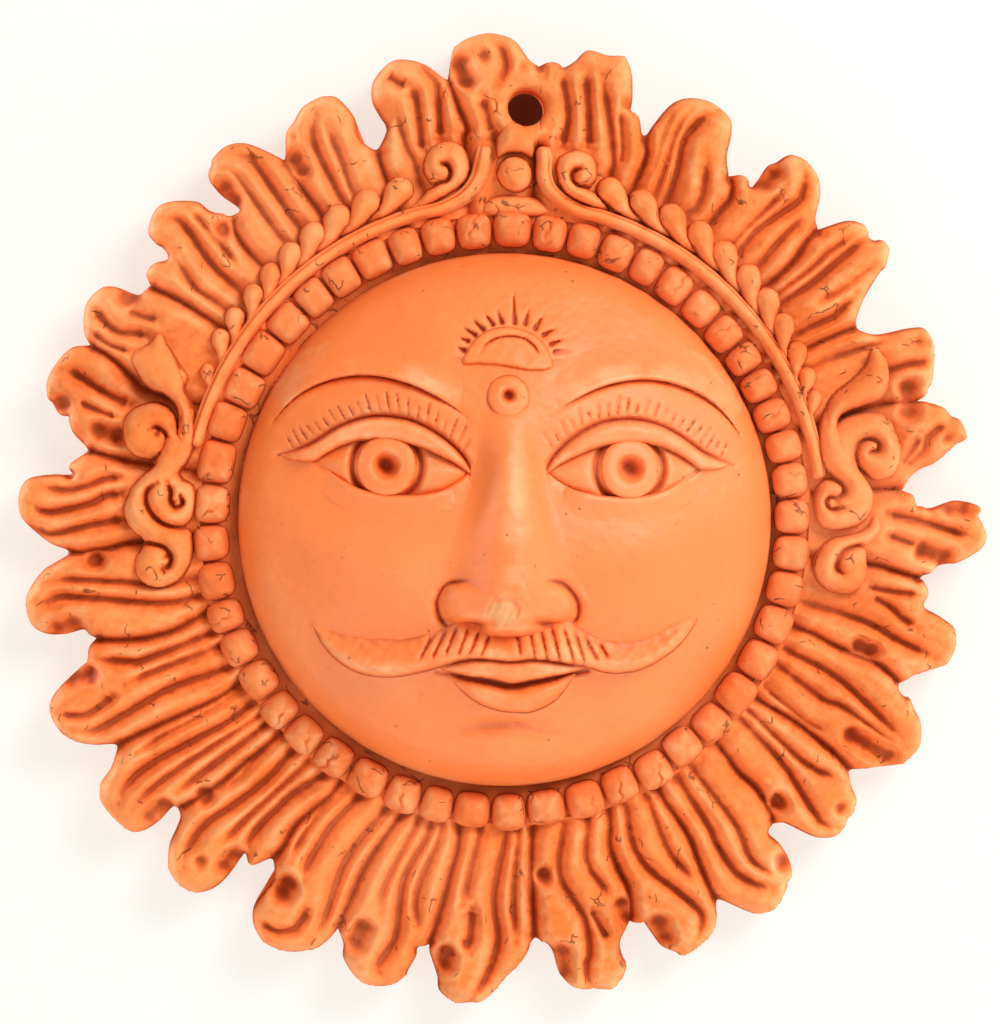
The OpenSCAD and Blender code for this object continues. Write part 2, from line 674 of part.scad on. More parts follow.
// Lip across the mouth, with its ends raised or dropped against its middle
module lip(y, half_length, half_width, end_y) {
    rows = [
        [-1, end_y, 0.2, 0.2], [-0.5, end_y * 0.4, 0.75, 0.8], [0, 0, 1, 1],
        [0.5, end_y * 0.4, 0.75, 0.8], [1, end_y, 0.2, 0.2],
    ];
    cord_on_face(spline(
        [for (r = rows) [r[0] * half_length, y + r[1], r[2] * half_width, r[3] * lip_h]], 3));
}
module upper_lip() color(clay_light) upright() lip(upper_lip_y, lip_w, upper_lip_w, 0.2 * upper_lip_w);
module lower_lip() color(clay_light) upright() lip(lower_lip_y, 0.88 * lip_w, lower_lip_w, 0.8 * lower_lip_w);

// Rising half sun with its rays, and the round dot under it
module forehead_sun() color(clay_light) upright() difference() {
    groove_r = mark_r * 0.66;
    groove_w = 1.2;
    ray_w = 1.8;
    union() {
        on_crown(0, mark_y) translate([0, 0, -sink]) {
            difference() {
                cylinder(r = mark_r, h = sink + mark_h);
                translate([-far, -2 * far, -far]) cube(2 * far);
                translate([0, 0, sink + mark_h / 2]) difference() {
                    cylinder(r = groove_r + groove_w / 2, h = far);
                    translate([0, 0, -1]) cylinder(r = groove_r - groove_w / 2, h = 2 * far);
                }
            }
            for (i = [0 : ray_count - 1])
                rotate(180 * (i + 0.5) / ray_count)
                    translate([mark_r + slip_gap, 0, 0])
                        linear_extrude(sink + mark_h / 2)
                            polygon([[0, -ray_w / 2], [ray_len, 0], [0, ray_w / 2]]);
        }
        on_crown(0, dot_y) translate([0, 0, -sink]) difference() {
            cylinder(r = dot_r, h = sink + mark_h);
            translate([0, 0, sink + mark_h / 3]) cylinder(r = dot_r / 3, h = far);
        }
    }
    dome(0);
}

back_slab();
face_shell();
bead_strip();
beads();
vine_stem(FLAMES[stem_last + 1][0]);  // vine_stem_right
on_left() vine_stem(360 - FLAMES[stem_first][0]);  // vine_stem_left
vine_leaves();  // vine_leaves_right
on_left() vine_leaves();  // vine_leaves_left
top_scroll();  // top_scroll_right
on_left() top_scroll();  // top_scroll_left
crest_collar();
crest_bead();
crest_petal();
side_leaf();  // side_leaf_right
on_left() side_leaf();  // side_leaf_left
side_scroll_upper();  // side_scroll_upper_right
on_left() side_scroll_upper();  // side_scroll_upper_left
side_scroll_lower();  // side_scroll_lower_right
on_left() side_scroll_lower();  // side_scroll_lower_left
eyeball();  // eyeball_right
on_left() eyeball();  // eyeball_left
iris();  // iris_right
on_left() iris();  // iris_left
eyelids();  // eyelids_right
on_left() eyelids();  // eyelids_left
brow();  // brow_right
on_left() brow();  // brow_left
nose();
moustache();
upper_lip();
lower_lip();
forehead_sun();
for (i = [0 : flame_count - 1])
    flame_tongue(i);
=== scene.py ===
"""Terracotta sun plaque, modelled over its CAD frame.

Lengths are millimetres in the plan of the plaque: x to the viewer's right, y up, z out of the wall. Places on
the rim are given by the angle clockwise from the top and by a radius in photo units of PHOTO_MM millimetres.
"""

import math

import bmesh
import bpy
import numpy as np

from mathutils import Matrix, Vector
from mathutils.geometry import delaunay_2d_cdt


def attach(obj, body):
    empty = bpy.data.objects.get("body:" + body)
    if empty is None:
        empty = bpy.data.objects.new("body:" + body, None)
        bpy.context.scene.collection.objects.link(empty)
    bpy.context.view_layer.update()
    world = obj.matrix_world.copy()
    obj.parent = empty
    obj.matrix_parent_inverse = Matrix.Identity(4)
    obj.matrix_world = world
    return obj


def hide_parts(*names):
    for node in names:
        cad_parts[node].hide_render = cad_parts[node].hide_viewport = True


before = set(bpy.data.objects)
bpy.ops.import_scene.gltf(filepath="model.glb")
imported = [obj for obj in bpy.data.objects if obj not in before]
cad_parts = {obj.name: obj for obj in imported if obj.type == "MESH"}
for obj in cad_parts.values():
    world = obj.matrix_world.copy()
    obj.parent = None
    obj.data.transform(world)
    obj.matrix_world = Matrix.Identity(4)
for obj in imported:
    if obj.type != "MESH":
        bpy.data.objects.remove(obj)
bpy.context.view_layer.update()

MM = 0.001
PHOTO_MM = 0.2577

# Driving sizes of the CAD model
SLAB_T = 7.0
OPENING_R = 59.0
FACE_R, SHOULDER_R, CROWN_R, FACE_WALL = 69.0, 20.0, 105.0, 10.0
STRIP_IN, STRIP_OUT = 68.4, 79.2
HOLE_A, HOLE_R, HOLE_D = 2.9, 105.9, 9.5

# Heights of the flames under the ornaments, and of the ornaments' edges
SEAT_Z = 11.4
ORNAMENT_Z = 10.4

# Where the dome's crown meets its shoulder: the tilt there, the height of the crown's centre, and the radius
CROWN_TILT = math.asin((FACE_R - SHOULDER_R) / (CROWN_R - SHOULDER_R))
CROWN_Z = SLAB_T - (CROWN_R - SHOULDER_R) * math.cos(CROWN_TILT)
CROWN_EDGE = CROWN_R * math.sin(CROWN_TILT)


# Small mathematics

def smoothstep(low, high, x):
    t = np.clip((x - low) / (high - low), 0, 1)
    return t * t * (3 - 2 * t)


def bell(x, width):
    return np.exp(-0.5 * (x / width) ** 2)


def round_over(distance, radius):
    """Height of a quarter round of unit height at a distance from its edge."""
    t = np.clip(1 - np.asarray(distance) / radius, 0, 1)
    return np.sqrt(1 - t * t)


def soft_max(a, b, width):
    return 0.5 * (a + b + np.sqrt((a - b) ** 2 + width * width))


def ripple(x, y, size, seed):
    """Smooth irregularity of about unit height, with humps of about the given size."""
    waves = 14
    rng = np.random.default_rng(seed)
    total = np.zeros_like(np.asarray(x, dtype=float))
    for _ in range(waves):
        turn = rng.uniform(0, 2 * math.pi)
        k = 2 * math.pi / (size * rng.uniform(0.8, 2.2))
        total += np.sin(k * (x * math.cos(turn) + y * math.sin(turn)) + rng.uniform(0, 2 * math.pi))
    return total / math.sqrt(waves)


def spline(rows, steps):
    """Catmull-Rom curve through rows of numbers, with a number of steps between one row and the next."""
    rows = np.asarray(rows, dtype=float)
    padded = np.vstack([2 * rows[0] - rows[1], rows, 2 * rows[-1] - rows[-2]])
    t = np.linspace(0, 1, steps, endpoint=False)[:, None]
    parts = []
    for i in range(len(rows) - 1):
        p, q, r, s = padded[i:i + 4]
        parts.append((2 * q + (r - p) * t + (2 * p - 5 * q + 4 * r - s) * t ** 2
                      + (3 * q - p - 3 * r + s) * t ** 3) / 2)
    return np.vstack(parts + [rows[-1:]])


def length_along(rows):
    """Length of a line up to each of its points, in the plan."""
    gaps = np.hypot(np.diff(rows[:, 0]), np.diff(rows[:, 1]))
    return np.concatenate([[0], np.cumsum(gaps)])


def resample(rows, spacing):
    """The same curve with points at equal distances in the plan, about the given spacing apart."""
    along = length_along(rows)
    to = np.linspace(0, along[-1], max(int(along[-1] / spacing) + 1, 4))
    return np.stack([np.interp(to, along, rows[:, k]) for k in range(rows.shape[1])], 1)


def closed_curve(points, spacing=0.5):
    """Smooth closed outline through points."""
    steps = 10
    turns = spline(np.vstack([points[-2:], points, points[:2]]), steps)
    return resample(turns[2 * steps:-steps], spacing)[:-1]


def polar(angle, radius):
    turn = np.radians(angle)
    return np.stack([radius * np.sin(turn), radius * np.cos(turn)], -1)


def numbers(words):
    """Rows of numbers from words, or from one text, with commas between the numbers of a row."""
    words = words.split() if isinstance(words, str) else words
    return np.array([[float(v) for v in word.split(",")] for word in words])


def table_lines(text):
    """Words of each line of a table; a line that starts with + goes on from the line above."""
    return [line.split() for line in text.strip().replace("\n+", "").splitlines()]


def photo_points(rows):
    """Rows of angle, photo radius and more as rows of x, y and more."""
    return np.hstack([polar(rows[:, 0], rows[:, 1] * PHOTO_MM), rows[:, 2:]])


def nearest(x, y, line):
    """Distance to the nearest point of a line, and how far along the line that is."""
    d2 = (x[:, None] - line[:, 0]) ** 2 + (y[:, None] - line[:, 1]) ** 2
    return np.sqrt(d2.min(1)), d2.argmin(1) / max(len(line) - 1, 1)


# Carving: strokes drawn into a surface

# Depth, half width of the bottom and radius of the shoulders of each kind of cut groove
GROOVES = {
    "crack": (0.9, 0.05, 0.5), "spiral": (4.8, 0.4, 2.8), "fold": (1.8, 0.1, 3.0), "vein": (1.6, 0.1, 1.6),
    "crease": (1.5, 0.12, 1.8), "lid": (2.0, 0.3, 2.0), "lash": (0.85, 0.1, 0.75), "hair": (1.5, 0.2, 1.3),
    "ray": (1.8, 0.5, 0.7), "arch": (1.1, 0.2, 0.8), "mouth": (1.8, 0.4, 1.6), "alar": (2.0, 0.25, 2.4),
}
# Depth and half width of each kind of pressed valley or round hollow
HOLLOWS = {
    "border": (5.4, 3.6), "deep": (5.4, 3.8), "main": (4.8, 3.5), "line": (3.6, 2.9), "faint": (1.8, 2.6),
    "pit": (7.2, 4.8), "hole": (7.6, 4.4), "nick": (4.2, 2.4), "eye": (3.6, 2.4), "dimple": (2.4, 3.2),
    "bump": (-1.6, 4.2), "soft": (2.2, 5.5), "pip": (1.1, 1.1),
}
VALLEYS = {"border", "deep", "main", "line", "faint"}
FADING = (VALLEYS | set(GROOVES)) - {"border", "ray"}
VALLEY_ROUND = 0.45
# Share of its depth that a fading stroke has at its ends, and the shares of its length between the fades
FADE_START, FADE_END = 0.3, 0.6
FADED_IN, FADES_OUT = 0.2, 0.92
RAY_SHALLOWING = 0.7


def stroke(kind, points):
    """A kind of groove or hollow along points of the plan."""
    return kind, points if len(points) == 1 else resample(spline(points, 8), 0.35)


def stroke_dip(kind, distance, along):
    """Depth of a stroke at a distance from its line and a share of the way along it."""
    if kind in HOLLOWS:
        depth, reach = HOLLOWS[kind]
        if kind in VALLEYS:
            shape = (1 - np.clip((np.hypot(distance, VALLEY_ROUND) - VALLEY_ROUND) / reach, 0, 1)) ** 2
        else:
            shape = 0.5 + 0.5 * np.cos(math.pi * np.minimum(distance / reach, 1))
    else:
        depth, bottom, shoulder = GROOVES[kind]
        taper = 1 - along if kind == "ray" else 1
        shape = 1 - round_over(np.maximum(distance - bottom * taper, 0), shoulder)
        if kind == "ray":
            shape = shape * (1 - RAY_SHALLOWING * along)
    if kind in FADING:
        shape = shape * (FADE_START + (1 - FADE_START) * smoothstep(0, FADED_IN, along))
        shape = shape * (FADE_END + (1 - FADE_END) * smoothstep(1, FADES_OUT, along))
    return depth * shape


def carve(x, y, strokes):
    """Depth that the strokes take off at each point; hollows that meet run into each other."""
    dip = np.zeros_like(x)
    for kind, line in strokes:
        reach = HOLLOWS[kind][1] if kind in HOLLOWS else sum(GROOVES[kind][1:])
        low, high = line.min(0) - reach, line.max(0) + reach
        near = (x > low[0]) & (x < high[0]) & (y > low[1]) & (y < high[1])
        if not near.any():
            continue
        cut = dip[near]
        more = stroke_dip(kind, *nearest(x[near], y[near], line))
        if kind == "bump":
            dip[near] = cut + more
        else:
            dip[near] = (np.maximum(cut, 0) ** 4 + more ** 4) ** 0.25 + np.minimum(cut, 0)
    return dip


# Closed meshes

def in_outline(points, rim):
    """Which points lie inside a closed outline."""
    x, y = points[:, :1], points[:, 1:]
    a, b = rim, np.roll(rim, -1, 0)
    rise = np.where(b[:, 1] == a[:, 1], 1e-12, b[:, 1] - a[:, 1])
    crossing = ((a[:, 1] > y) != (b[:, 1] > y)) & (x < a[:, 0] + (y - a[:, 1]) / rise * (b[:, 0] - a[:, 0]))
    return crossing.sum(1) % 2 == 1


def fill_outline(rim, spacing):
    """Points and triangles that fill a closed outline, and where the outline's own points are among them."""
    low, high = rim.min(0), rim.max(0)
    row_gap = spacing * 0.866
    x, y = np.meshgrid(np.arange(low[0], high[0] + spacing, spacing), np.arange(low[1], high[1], row_gap))
    x = x + spacing / 2 * (np.arange(len(x)) % 2)[:, None]
    inner = np.stack([x.ravel(), y.ravel()], 1)
    inner = inner[in_outline(inner, rim)]
    inner = inner[nearest(inner[:, 0], inner[:, 1], rim)[0] > 0.6 * spacing]
    count = len(rim)
    edges = [(k, (k + 1) % count) for k in range(count)]
    made = delaunay_2d_cdt([Vector(p) for p in np.vstack([rim, inner])], edges, [], 1, 1e-6)
    place = {source: k for k, sources in enumerate(made[3]) for source in sources}
    points = np.array([tuple(v) for v in made[0]])
    return points, np.array(made[2]), np.array([place[k] for k in range(count)])


def soften(values, triangles, rounds, hold=()):
    """Values averaged with those of their neighbours, the held ones kept."""
    a, b = triangles.ravel(), triangles[:, [1, 2, 0]].ravel()
    n = len(values)
    count = np.maximum(np.bincount(a, minlength=n) + np.bincount(b, minlength=n), 1)
    kept = values[list(hold)]
    for _ in range(rounds):
        values = (values + 3 * (np.bincount(a, values[b], n) + np.bincount(b, values[a], n)) / count) / 4
        values[list(hold)] = kept
    return values


def mesh_relief(z, triangles):
    """How far each point stands above its neighbourhood, from -1 to 1."""
    full_relief = 0.7
    return np.clip((z - soften(z, triangles, 12)) / full_relief, -1, 1)


def grid_faces(rows, cols, first=0):
    index = first + np.arange(rows * cols).reshape(rows, cols)
    corners = [index[:-1, :-1], index[:-1, 1:], index[1:, 1:], index[1:, :-1]]
    return np.stack(corners, -1).reshape(-1, 4).tolist()


def grid_rim(rows, cols, first=0):
    index = first + np.arange(rows * cols).reshape(rows, cols)
    return np.concatenate([index[0], index[1:, -1], index[-1, -2::-1], index[-2:0:-1, 0]])


def grid_relief(z):
    quads = np.array(grid_faces(*z.shape))
    return mesh_relief(z.ravel(), np.vstack([quads[:, [0, 1, 2]], quads[:, [0, 2, 3]]]))


def ring_faces(rings, count):
    """Faces of a body of closed rings, each joined to the next and the last to the first."""
    index = np.arange(rings * count).reshape(rings, count)
    after = np.roll(index, -1, 1)
    return np.stack([index, after, np.roll(after, -1, 0), np.roll(index, -1, 0)], -1).reshape(-1, 4).tolist()


class Clay:
    """Gathers closed lumps and turns them into one named piece."""

    def __init__(self):
        self.points, self.faces, self.relief = [], [], []
        self.count = 0

    def add(self, points, faces, relief=None):
        self.points.append(points)
        self.relief.append(np.zeros(len(points)) if relief is None else relief)
        self.faces += [[v + self.count for v in face] for face in faces]
        self.count += len(points)
        return self

    def close(self, top, faces, rim, floor, relief):
        """Adds a lump with the given top, walls below its rim and an underside at the floor."""
        under = top[rim].copy()
        under[:, 2] = floor if np.isscalar(floor) else floor(under[:, 0], under[:, 1])
        n, first = len(rim), len(top)
        walls = [[rim[k], first + k, first + (k + 1) % n, rim[(k + 1) % n]] for k in range(n)]
        underside = list(range(first, first + n))
        relief = np.concatenate([relief, np.zeros(n)])
        return self.add(np.vstack([top, under]), faces + walls + [underside], relief)

    def add_patch(self, x, y, z, floor, rubbed_and_highlight=0):
        """Lump under a grid of heights, paler where it is rubbed or given a painted highlight."""
        top = np.stack([x.ravel(), y.ravel(), z.ravel()], 1)
        relief = np.clip(grid_relief(z) + np.ravel(rubbed_and_highlight), -1, 1)
        return self.close(top, grid_faces(*x.shape), grid_rim(*x.shape), floor, relief)

    def add_relief(self, outline, height, floor, spacing):
        """Lump inside an outline; height gives its top from x, y and the distance to the outline."""
        points, triangles, rim = fill_outline(outline, spacing)
        x, y = points[:, 0], points[:, 1]
        z = height(x, y, soften(nearest(x, y, outline)[0], triangles, 10, rim))
        top = np.column_stack([points, z])
        return self.close(top, triangles.tolist(), rim, floor, mesh_relief(z, triangles))

    def piece(self, node, material, name=None):
        """The piece that stands for a node of the CAD model."""
        name = name or f"clay_{node}"
        points = np.vstack(self.points)
        stood = np.stack([points[:, 0], -points[:, 2], points[:, 1]], 1) * MM
        mesh = bpy.data.meshes.new(name)
        mesh.from_pydata(stood.tolist(), [], self.faces)
        work = bmesh.new()
        work.from_mesh(mesh)
        bmesh.ops.recalc_face_normals(work, faces=work.faces)
        work.to_mesh(mesh)
        work.free()
        mesh.shade_smooth()
        mesh.set_sharp_from_angle(angle=math.radians(80))
        attribute = mesh.attributes.new("relief", "FLOAT", "POINT")
        attribute.data.foreach_set("value", np.concatenate(self.relief).astype(np.float32))
        obj = bpy.data.objects.new(name, mesh)
        bpy.context.scene.collection.objects.link(obj)
        mesh.materials.append(material)
        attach(obj, "root")
        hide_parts(node)
        return obj


def disc_grid(n, radius, clustering=0.0):
    """Square grid drawn into a disc, closer together towards its edge."""
    u, v = np.meshgrid(np.linspace(-1, 1, n), np.linspace(-1, 1, n))
    x, y = u * np.sqrt(1 - v * v / 2), v * np.sqrt(1 - u * u / 2)
    share = np.hypot(x, y)
    grow = radius * (1 + clustering - clustering * share)
    return x * grow, y * grow


def ribbon(rows, across, base):
    """Grid of a rounded cord along rows of x, y, half width and height, with rounded ends."""
    path = resample(spline(rows, 12), 0.6)
    along = length_along(path)
    to_end = np.minimum(along / path[0, 2], (along[-1] - along) / path[-1, 2])
    cap = np.maximum(round_over(to_end, 1), 0.06)
    ahead = np.gradient(path[:, :2], axis=0)
    ahead /= np.maximum(np.hypot(ahead[:, 0], ahead[:, 1]), 1e-9)[:, None]
    half = (path[:, 2] * cap)[:, None] * across
    x = path[:, :1] + ahead[:, 1:] * half
    y = path[:, 1:2] - ahead[:, :1] * half
    z = base + path[:, 3:] * cap[:, None] * np.maximum(1 - np.abs(across) ** 3.2, 0) ** 0.5
    return x, y, z


# The rim: flame tongues carved into one relief

# Outer edge of each flame, clockwise from the top, from its left notch to short of the next one
OUTLINES = [numbers(words) for words in table_lines("""
-7.4,444 -6.4,471 -5.6,478 -4.2,483.5 -2.4,486.5 -1,486 1.2,479 3,461
4.3,455 5.2,459 6,460.5 6.8,459.5 7.4,456.5 8.6,463.5 10,477 12.4,476 14.2,479 14.8,477 15.9,464 16.7,445
+ 17,434 17.1,429 18.4,425 19.4,412
19.9,409.5 20.3,413 20.7,425 21.8,448 23.6,461 26.4,466.5 29.3,461 30.5,447 31.4,427
33.1,411.5 34.2,418 35,420 35.8,418.5 36.3,415 36.8,419 36.6,436 36.7,444 37.2,450 38,464.5 40,470
+ 42.4,466 44.2,454 45.8,435
47.2,429 48.8,455.7 50.4,466 51.4,466 52.2,463 52.9,465 53.3,470.5 54,473 55,471.6 56.4,459 56.7,450
+ 58.4,424 60.3,407
61.4,403.5 62.2,406 63.6,419 64.7,451 65.7,464.5 68.2,465 71.8,453 72.8,446 73.6,441
74,432 74.3,439 75.6,455 76.9,461 77.3,466 78,470.5 79.8,472.7 80.3,468 80.6,460 82.4,438 83.1,421
+ 84.2,409.5
85.8,401.5 86.6,412 88,415 88.2,421 88.5,429 87.6,454 88.2,475.5 89,480 89.6,477.5 91.8,485.5 93.6,480.5
+ 95.4,459 95.7,449 96.1,440 97.2,432 97.6,426
98.1,423 98.4,427 99.8,433.5 101.7,431.5 102.4,446 103.2,462 103.9,468 105.8,472.5 107.8,470 108.6,464.5
+ 110.9,441 111.5,438
112.6,431 113.2,432.5 113.7,436.5 113.9,442 113.8,446.5 114.8,455 116,467 118,475.5 119.2,476.5
+ 121.2,472.5 122,467 124.4,444 125.7,432
126,431 126.5,432 127.6,442 128.4,453 129.2,456 130,459.5 131,459.5 132,462 133.2,463 134.2,460 135.7,447
+ 137.1,420 137.6,414
138.6,409.5 139.9,413 139.7,430 140.1,448 141,460.5 142,464 142.9,470 144.8,477 145.8,477.3 147.8,469
+ 150.2,443
150.9,440 151.4,445 151.9,454 153.4,467 156.6,475 158,474 158.4,469.5 159.6,460.5 160.1,453 160.8,433
+ 161,429.5 162.2,427
162.7,424 164.7,440.5 164.9,455 164.7,463 165,471 166.4,482 167.4,485 169.4,481 171.4,477.5 172.8,465.5
+ 173.3,455.5 173.7,437.5 174.5,427.7 175,427 175.4,424
175.9,422.5 176.5,427 177,436 178.2,448.4 179.9,461 181.6,477.6 183.4,488 185.8,488.5 187.6,481 188.2,474
+ 188.4,465 189.8,443
190.1,434.5 191.5,439 191.5,447.5 192.1,462.5 192.3,469.5 193.6,481 195.6,486.8 197.8,485 200.2,470
+ 200.9,456
202.2,444 202.9,459 204.1,473 207,486 209.4,488.6 210.6,485.5 212.1,476.5 213.1,460 212.7,431 212.9,426
+ 213.9,416
214.4,413.5 214.9,415.3 215.8,426 216.3,430 216.9,429.8 217.9,424.5 218,431 217.9,452 218.3,470 219.3,483
+ 220.2,488 221.4,490.5 222.6,490 223.8,487 224.6,482 226,468 226.9,451.3 227.6,441
228.6,437.5 229.2,440.5 229,460 229.4,478.8 230.8,490 234.8,494 236.6,486.3 237.2,480.3 237.9,466
+ 239.4,452
239.9,450 240.4,454 241.4,469.7 242.8,484 244.6,493 247,494.6 248.4,488.8 249.6,474 251,448.3 251.3,442
+ 253,435.5
253.9,426 254.7,431.8 255.2,433.3 255.5,437.5 255.5,455 256.1,472.3 257.4,484 259.2,487 261.2,483.6
+ 263.6,467 264.6,452.8 265.4,440
265.9,438 266.3,441 267.2,456 269.3,475.8 270.9,485 273.2,486 275,478 275.8,454.8 275.9,440 276.2,435.5
+ 276.6,438 277.4,438.3 279.1,425
279.6,423 280.1,426.5 281.4,440 282.8,446.6 283.4,448.4 283.3,453 283.5,459 284.6,467.6 285,472.8
+ 286.8,477.8 288.8,475.8 291.6,466.5
292.9,450 293.9,459 295.6,466.5 297.6,470.6 299.9,465 300.9,454 301.3,438 301.5,431.2 301.9,428
303.5,425 304.6,435 306.2,434 307.5,427 308,427.5 308.4,432 308.5,438 308.4,445 309,458.3 311.6,466.7
+ 313.6,461.3 315.9,443 316.3,429 316.7,422 317.3,417 317.7,411
318.2,408.5 319.3,407 319.5,412 318.9,430 318.9,446 319.2,453 319.7,457 320.4,459.5 321,464 323.2,466
+ 325.2,458.6 326.7,444
328.5,422 329.1,426.8 330.2,440.7 331,446.5 332,449.8 333.8,459 336,461 337,459.8 338.4,453 339.5,430
+ 339.2,413.5 339.4,403.5 340.4,394
341,392 341.8,396 343.2,409 342.8,421.8 342.4,438.4 343,454 344.4,465 346.4,472.3 348.6,468.5 350.4,459.8
+ 351.9,447.7
""")]

# Left border of each flame: the angle of its root, then points on the way to its notch
BORDERS = [(float(root), numbers(words)) for root, *words in table_lines("""
-6.8 -6.2,375 -5.6,392 -6.4,412 -7,430
5 5,385 4.6,420
20.7 21.2,360 21.2,388 20.5,400
34.6 34.8,370 35,390 34.3,402
48 48.3,370 48,390 47.3,410
60.2 60.6,360 61,385
73 73,390 73.6,415
85 85.4,380
97 96.9,370 97.3,390 97.8,410
110.3 110.3,330 110.9,360 111,395 111.7,415
125.5 124.9,350 125,380 125.4,410
136.5 136.8,325 137.2,345 136.9,370 137.6,395
150.5 150.4,325 150,345 149.9,370 150.5,395 150.9,420
160 161,325 162.2,345 162,370 161.6,392
174.5 175.4,330 175.8,370 175.9,400
188.5 188.2,330 188.8,360 189.3,390 189.8,415
198.5 200,325 201,345 202,375 202.2,400 202.3,425
212 212.3,325 213.6,350 214.4,372 214.2,395
226.5 226.6,330 227,360 227.2,385 227.9,415
238.5 238.2,335 238.8,370 239.4,400 239.8,430
253 252.3,325 251.6,350 251.9,380 252.9,405
266.5 266.6,370 266,395 265.7,420
279 279,370 279.2,395
291 290,375 291.2,400 292.5,425
304 304.2,370 304,395 303.6,415
316.5 316.3,355 316.4,375 317,395
329 329,355 328.7,380 328.4,405
341 340.8,358 340.8,380
""")]

# Photo radius up to which the flames lie low under the ornaments that sit on them, by angle
SEATS = numbers("""
0,392 6,372 10,376 15,368 17,356 60,356 63,380 66,408 70,408 74,400 80,402 85,388 88,370 94,352 98,362 102,362
105,340 108,300 256,300 259,340 262,370 266,366 272,378 278,376 281,386 285,394 291,398 297,402 300,378
303,358 342,358 346,374 352,382 357,380 360,392
""")

FLAME_COUNT = len(OUTLINES)
FLAME_ROOT_R = 78.4 / PHOTO_MM
EDGE_INSET = np.array([0, 0.8])
# The CAD model's box in the plan
BOX_LOW, BOX_HIGH = [-125.2, -125.1], [125.0, 125.3]
# A long groove that ends within this photo radius runs on to the flame's root, unless that is near
RUN_ON_R, SHORT_RUN = 368, 8


def rim_stroke(kind, words):
    """A stroke of the rim; a long groove that comes near the beads runs on to the root of its flame."""
    rows = numbers(words)
    run = rows[-1, 1] - FLAME_ROOT_R
    if kind in ("main", "deep", "line") and len(rows) > 1 and rows[-1, 1] < RUN_ON_R and run > SHORT_RUN:
        lean = (rows[-1, 0] - rows[-2, 0]) / max(rows[-2, 1] - rows[-1, 1], 12)
        rows = np.vstack([rows, [rows[-1, 0] + 0.5 * lean * run, FLAME_ROOT_R]])
    return stroke(kind, photo_points(rows))


